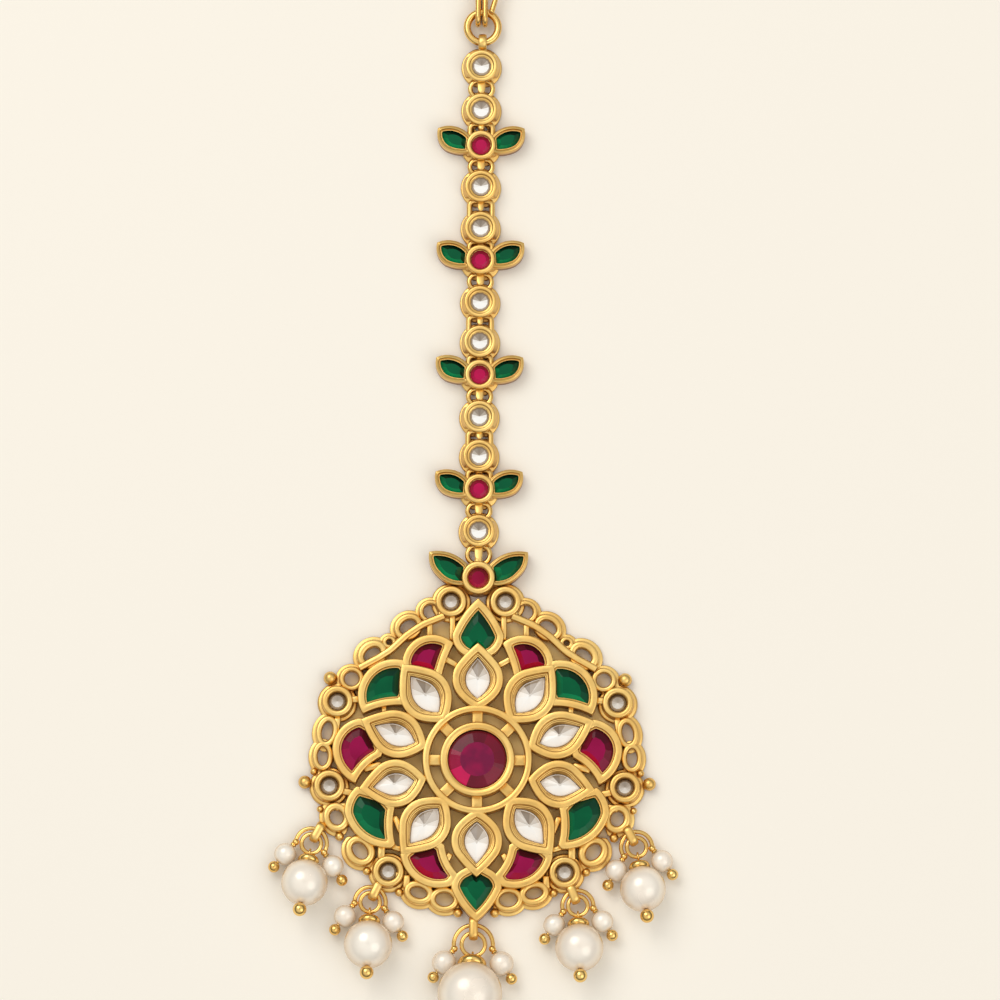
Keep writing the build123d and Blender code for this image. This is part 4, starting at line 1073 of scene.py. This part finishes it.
def makeRoundStones():
    # fall runs from 0 on the facets that lean up the chain to 1 on those that lean down it; crown facets, and on clear
    # stones the table's sectors, that lean down it are painted lighter
    clear, rubies = Surface(), Surface()
    fall = 0.5 - 0.5 * np.sin(fullTurn(stone["roundSides"]) + 2 * math.pi / stone["roundSides"])
    for place in bothSides(collets):
        facetedRound(clear, place, 0.3 * fall, 0.2 + 0.4 * fall, **stone["collet"])
    for kind, y in links:
        if kind == "round":
            facetedRound(clear, (0, y), 0.1 + 0.35 * fall, np.interp(fall, *stone["tableGlint"]), **stone["clearLink"])
        else:
            facetedRound(rubies, (0, y), 0.35 + 0.3 * fall, 0.68, **stone["rubyLink"])
    facetedRound(rubies, (0, motif["y"]), 0.15 + 0.45 * fall, 0.42, **stone["motif"])
    settle(clear, "clearRoundStones", clearGlass, "clear_round_stones", 0)
    settle(rubies, "smallRubies", rubyGlass, "small_rubies", 0)


makeMedallion()
print("medallion made")
for index in range(len(links)):
    makeLink(index)
makeChainRings()
makeTopRing()
makeHook()
for number, one in enumerate(drops):
    makeDrop(number + 1, one)
makeDropRings()
print("drops made")
makeCentreRuby()
makePetalStones()
makeRoundStones()
for name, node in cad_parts.items():     # the solids that stay are stones, cut as they are
    if name.startswith("outer_stone") or name == "leaf_emeralds":
        odd = name == "leaf_emeralds" or int(name[-2:]) % 2 == 1
        node.data.materials.clear()
        node.data.materials.append(emeraldCut if odd else rubyCut)
print("stones made")


studio = dict(
    # the warm gold colour and its two reaches paint bounce light on the floor under the medallion
    floor=colour(251, 246, 236), paintedBounceGold=colour(255, 226, 156), under=(17.0, 20.5), floorHalf=3000.0,
    target=(2.72, 33.77, 1.2), width=128.8, distance=1300.0, tilt=8.0, roll=0.35, sensor=36.0,
    strength=0.76, dome=((0.0, 0.2), (0.3, 0.3), (0.72, 1.1), (0.975, 1.265), (0.992, 0.62)),    # height, level
    aim=(0.0, 30.0, 0.0), lampSize=560.0, lamps=dict(
        key=((-300, 380, 640), 1.8, (1.0, 0.97, 0.92)), fill=((420, -260, 560), 0.76, (1.0, 0.96, 0.9))))


def makeFloor():
    # a wide plane at z 0; painted bounce light from the gold, warmer under the medallion, falls off with x squared + y
    # squared
    half = studio["floorHalf"] * mm
    mesh = bpy.data.meshes.new("tableTop")
    mesh.from_pydata([(-half, -half, 0), (half, -half, 0), (half, half, 0), (-half, half, 0)], [], [(0, 1, 2, 3)])
    floor = placed("tableTop", mesh)
    nodes = Nodes(bpy.data.materials.new("paperFloor"))
    soft = nodes.noise(6.0)
    x, y, _ = nodes.coordinate()
    near, far = [(reach * mm) ** 2 for reach in studio["under"]]
    paintedBounce = (x * x + y * y).ramp(near, far, 1.0, 0.0)      # painted bounce light: the floor that shows through the medallion is tinted warmer, as if lit by the gold
    base = nodes.blend(paintedBounce, studio["floor"], studio["paintedBounceGold"])
    floor.data.materials.append(nodes.shade(Base_Color=base, Roughness=soft.spread(0.85, 0.95)))


def makeWorld():
    # studio dome: bright from just off the zenith down to mid height, dark overhead where nothing hangs
    world = bpy.data.worlds.new("studioDome")
    bpy.context.scene.world = world
    nodes = Nodes(world, "Background")
    table = [(place, (level, level * 0.985, level * 0.95, 1.0)) for place, level in studio["dome"]]
    nodes.shade(Color=nodes.stops(nodes.coordinate("Generated")[2], table), Strength=studio["strength"])


def aimed(holder, place, direction):
    # stands at place and looks along direction
    holder.location = place
    holder.rotation_mode = "QUATERNION"
    holder.rotation_quaternion = Vector(direction).to_track_quat("-Z", "Y")


def makeLamps():
    # round area lamps, all aimed at one point
    for name, (place, power, tint) in studio["lamps"].items():
        lamp = bpy.data.lights.new(name, "AREA")
        lamp.shape, lamp.size, lamp.energy, lamp.color = "DISK", studio["lampSize"] * mm, power, tint
        place = Vector(place) * mm
        aimed(placed(name, lamp), place, Vector(studio["aim"]) * mm - place)


def makeCamera():
    # far off with a long lens, leaning up the chain by tilt and turned by roll: lens = sensor x distance / width
    camera = placed("camera", bpy.data.cameras.new("camera"))
    tilt, distance = math.radians(studio["tilt"]), studio["distance"] * mm
    back = Vector((0, -math.sin(tilt), math.cos(tilt)))
    aimed(camera, Vector(studio["target"]) * mm + back * distance, -back)
    roll = Matrix.Rotation(math.radians(studio["roll"]), 3, "Z").to_quaternion()
    camera.rotation_quaternion = camera.rotation_quaternion @ roll
    camera.data.sensor_width = studio["sensor"]
    camera.data.lens = studio["sensor"] * studio["distance"] / studio["width"]
    camera.data.clip_start, camera.data.clip_end = 0.05, 10.0
    bpy.context.scene.camera = camera


makeFloor()
makeWorld()
makeLamps()
makeCamera()
bpy.context.scene.view_settings.view_transform = "Standard"

print("scene made")
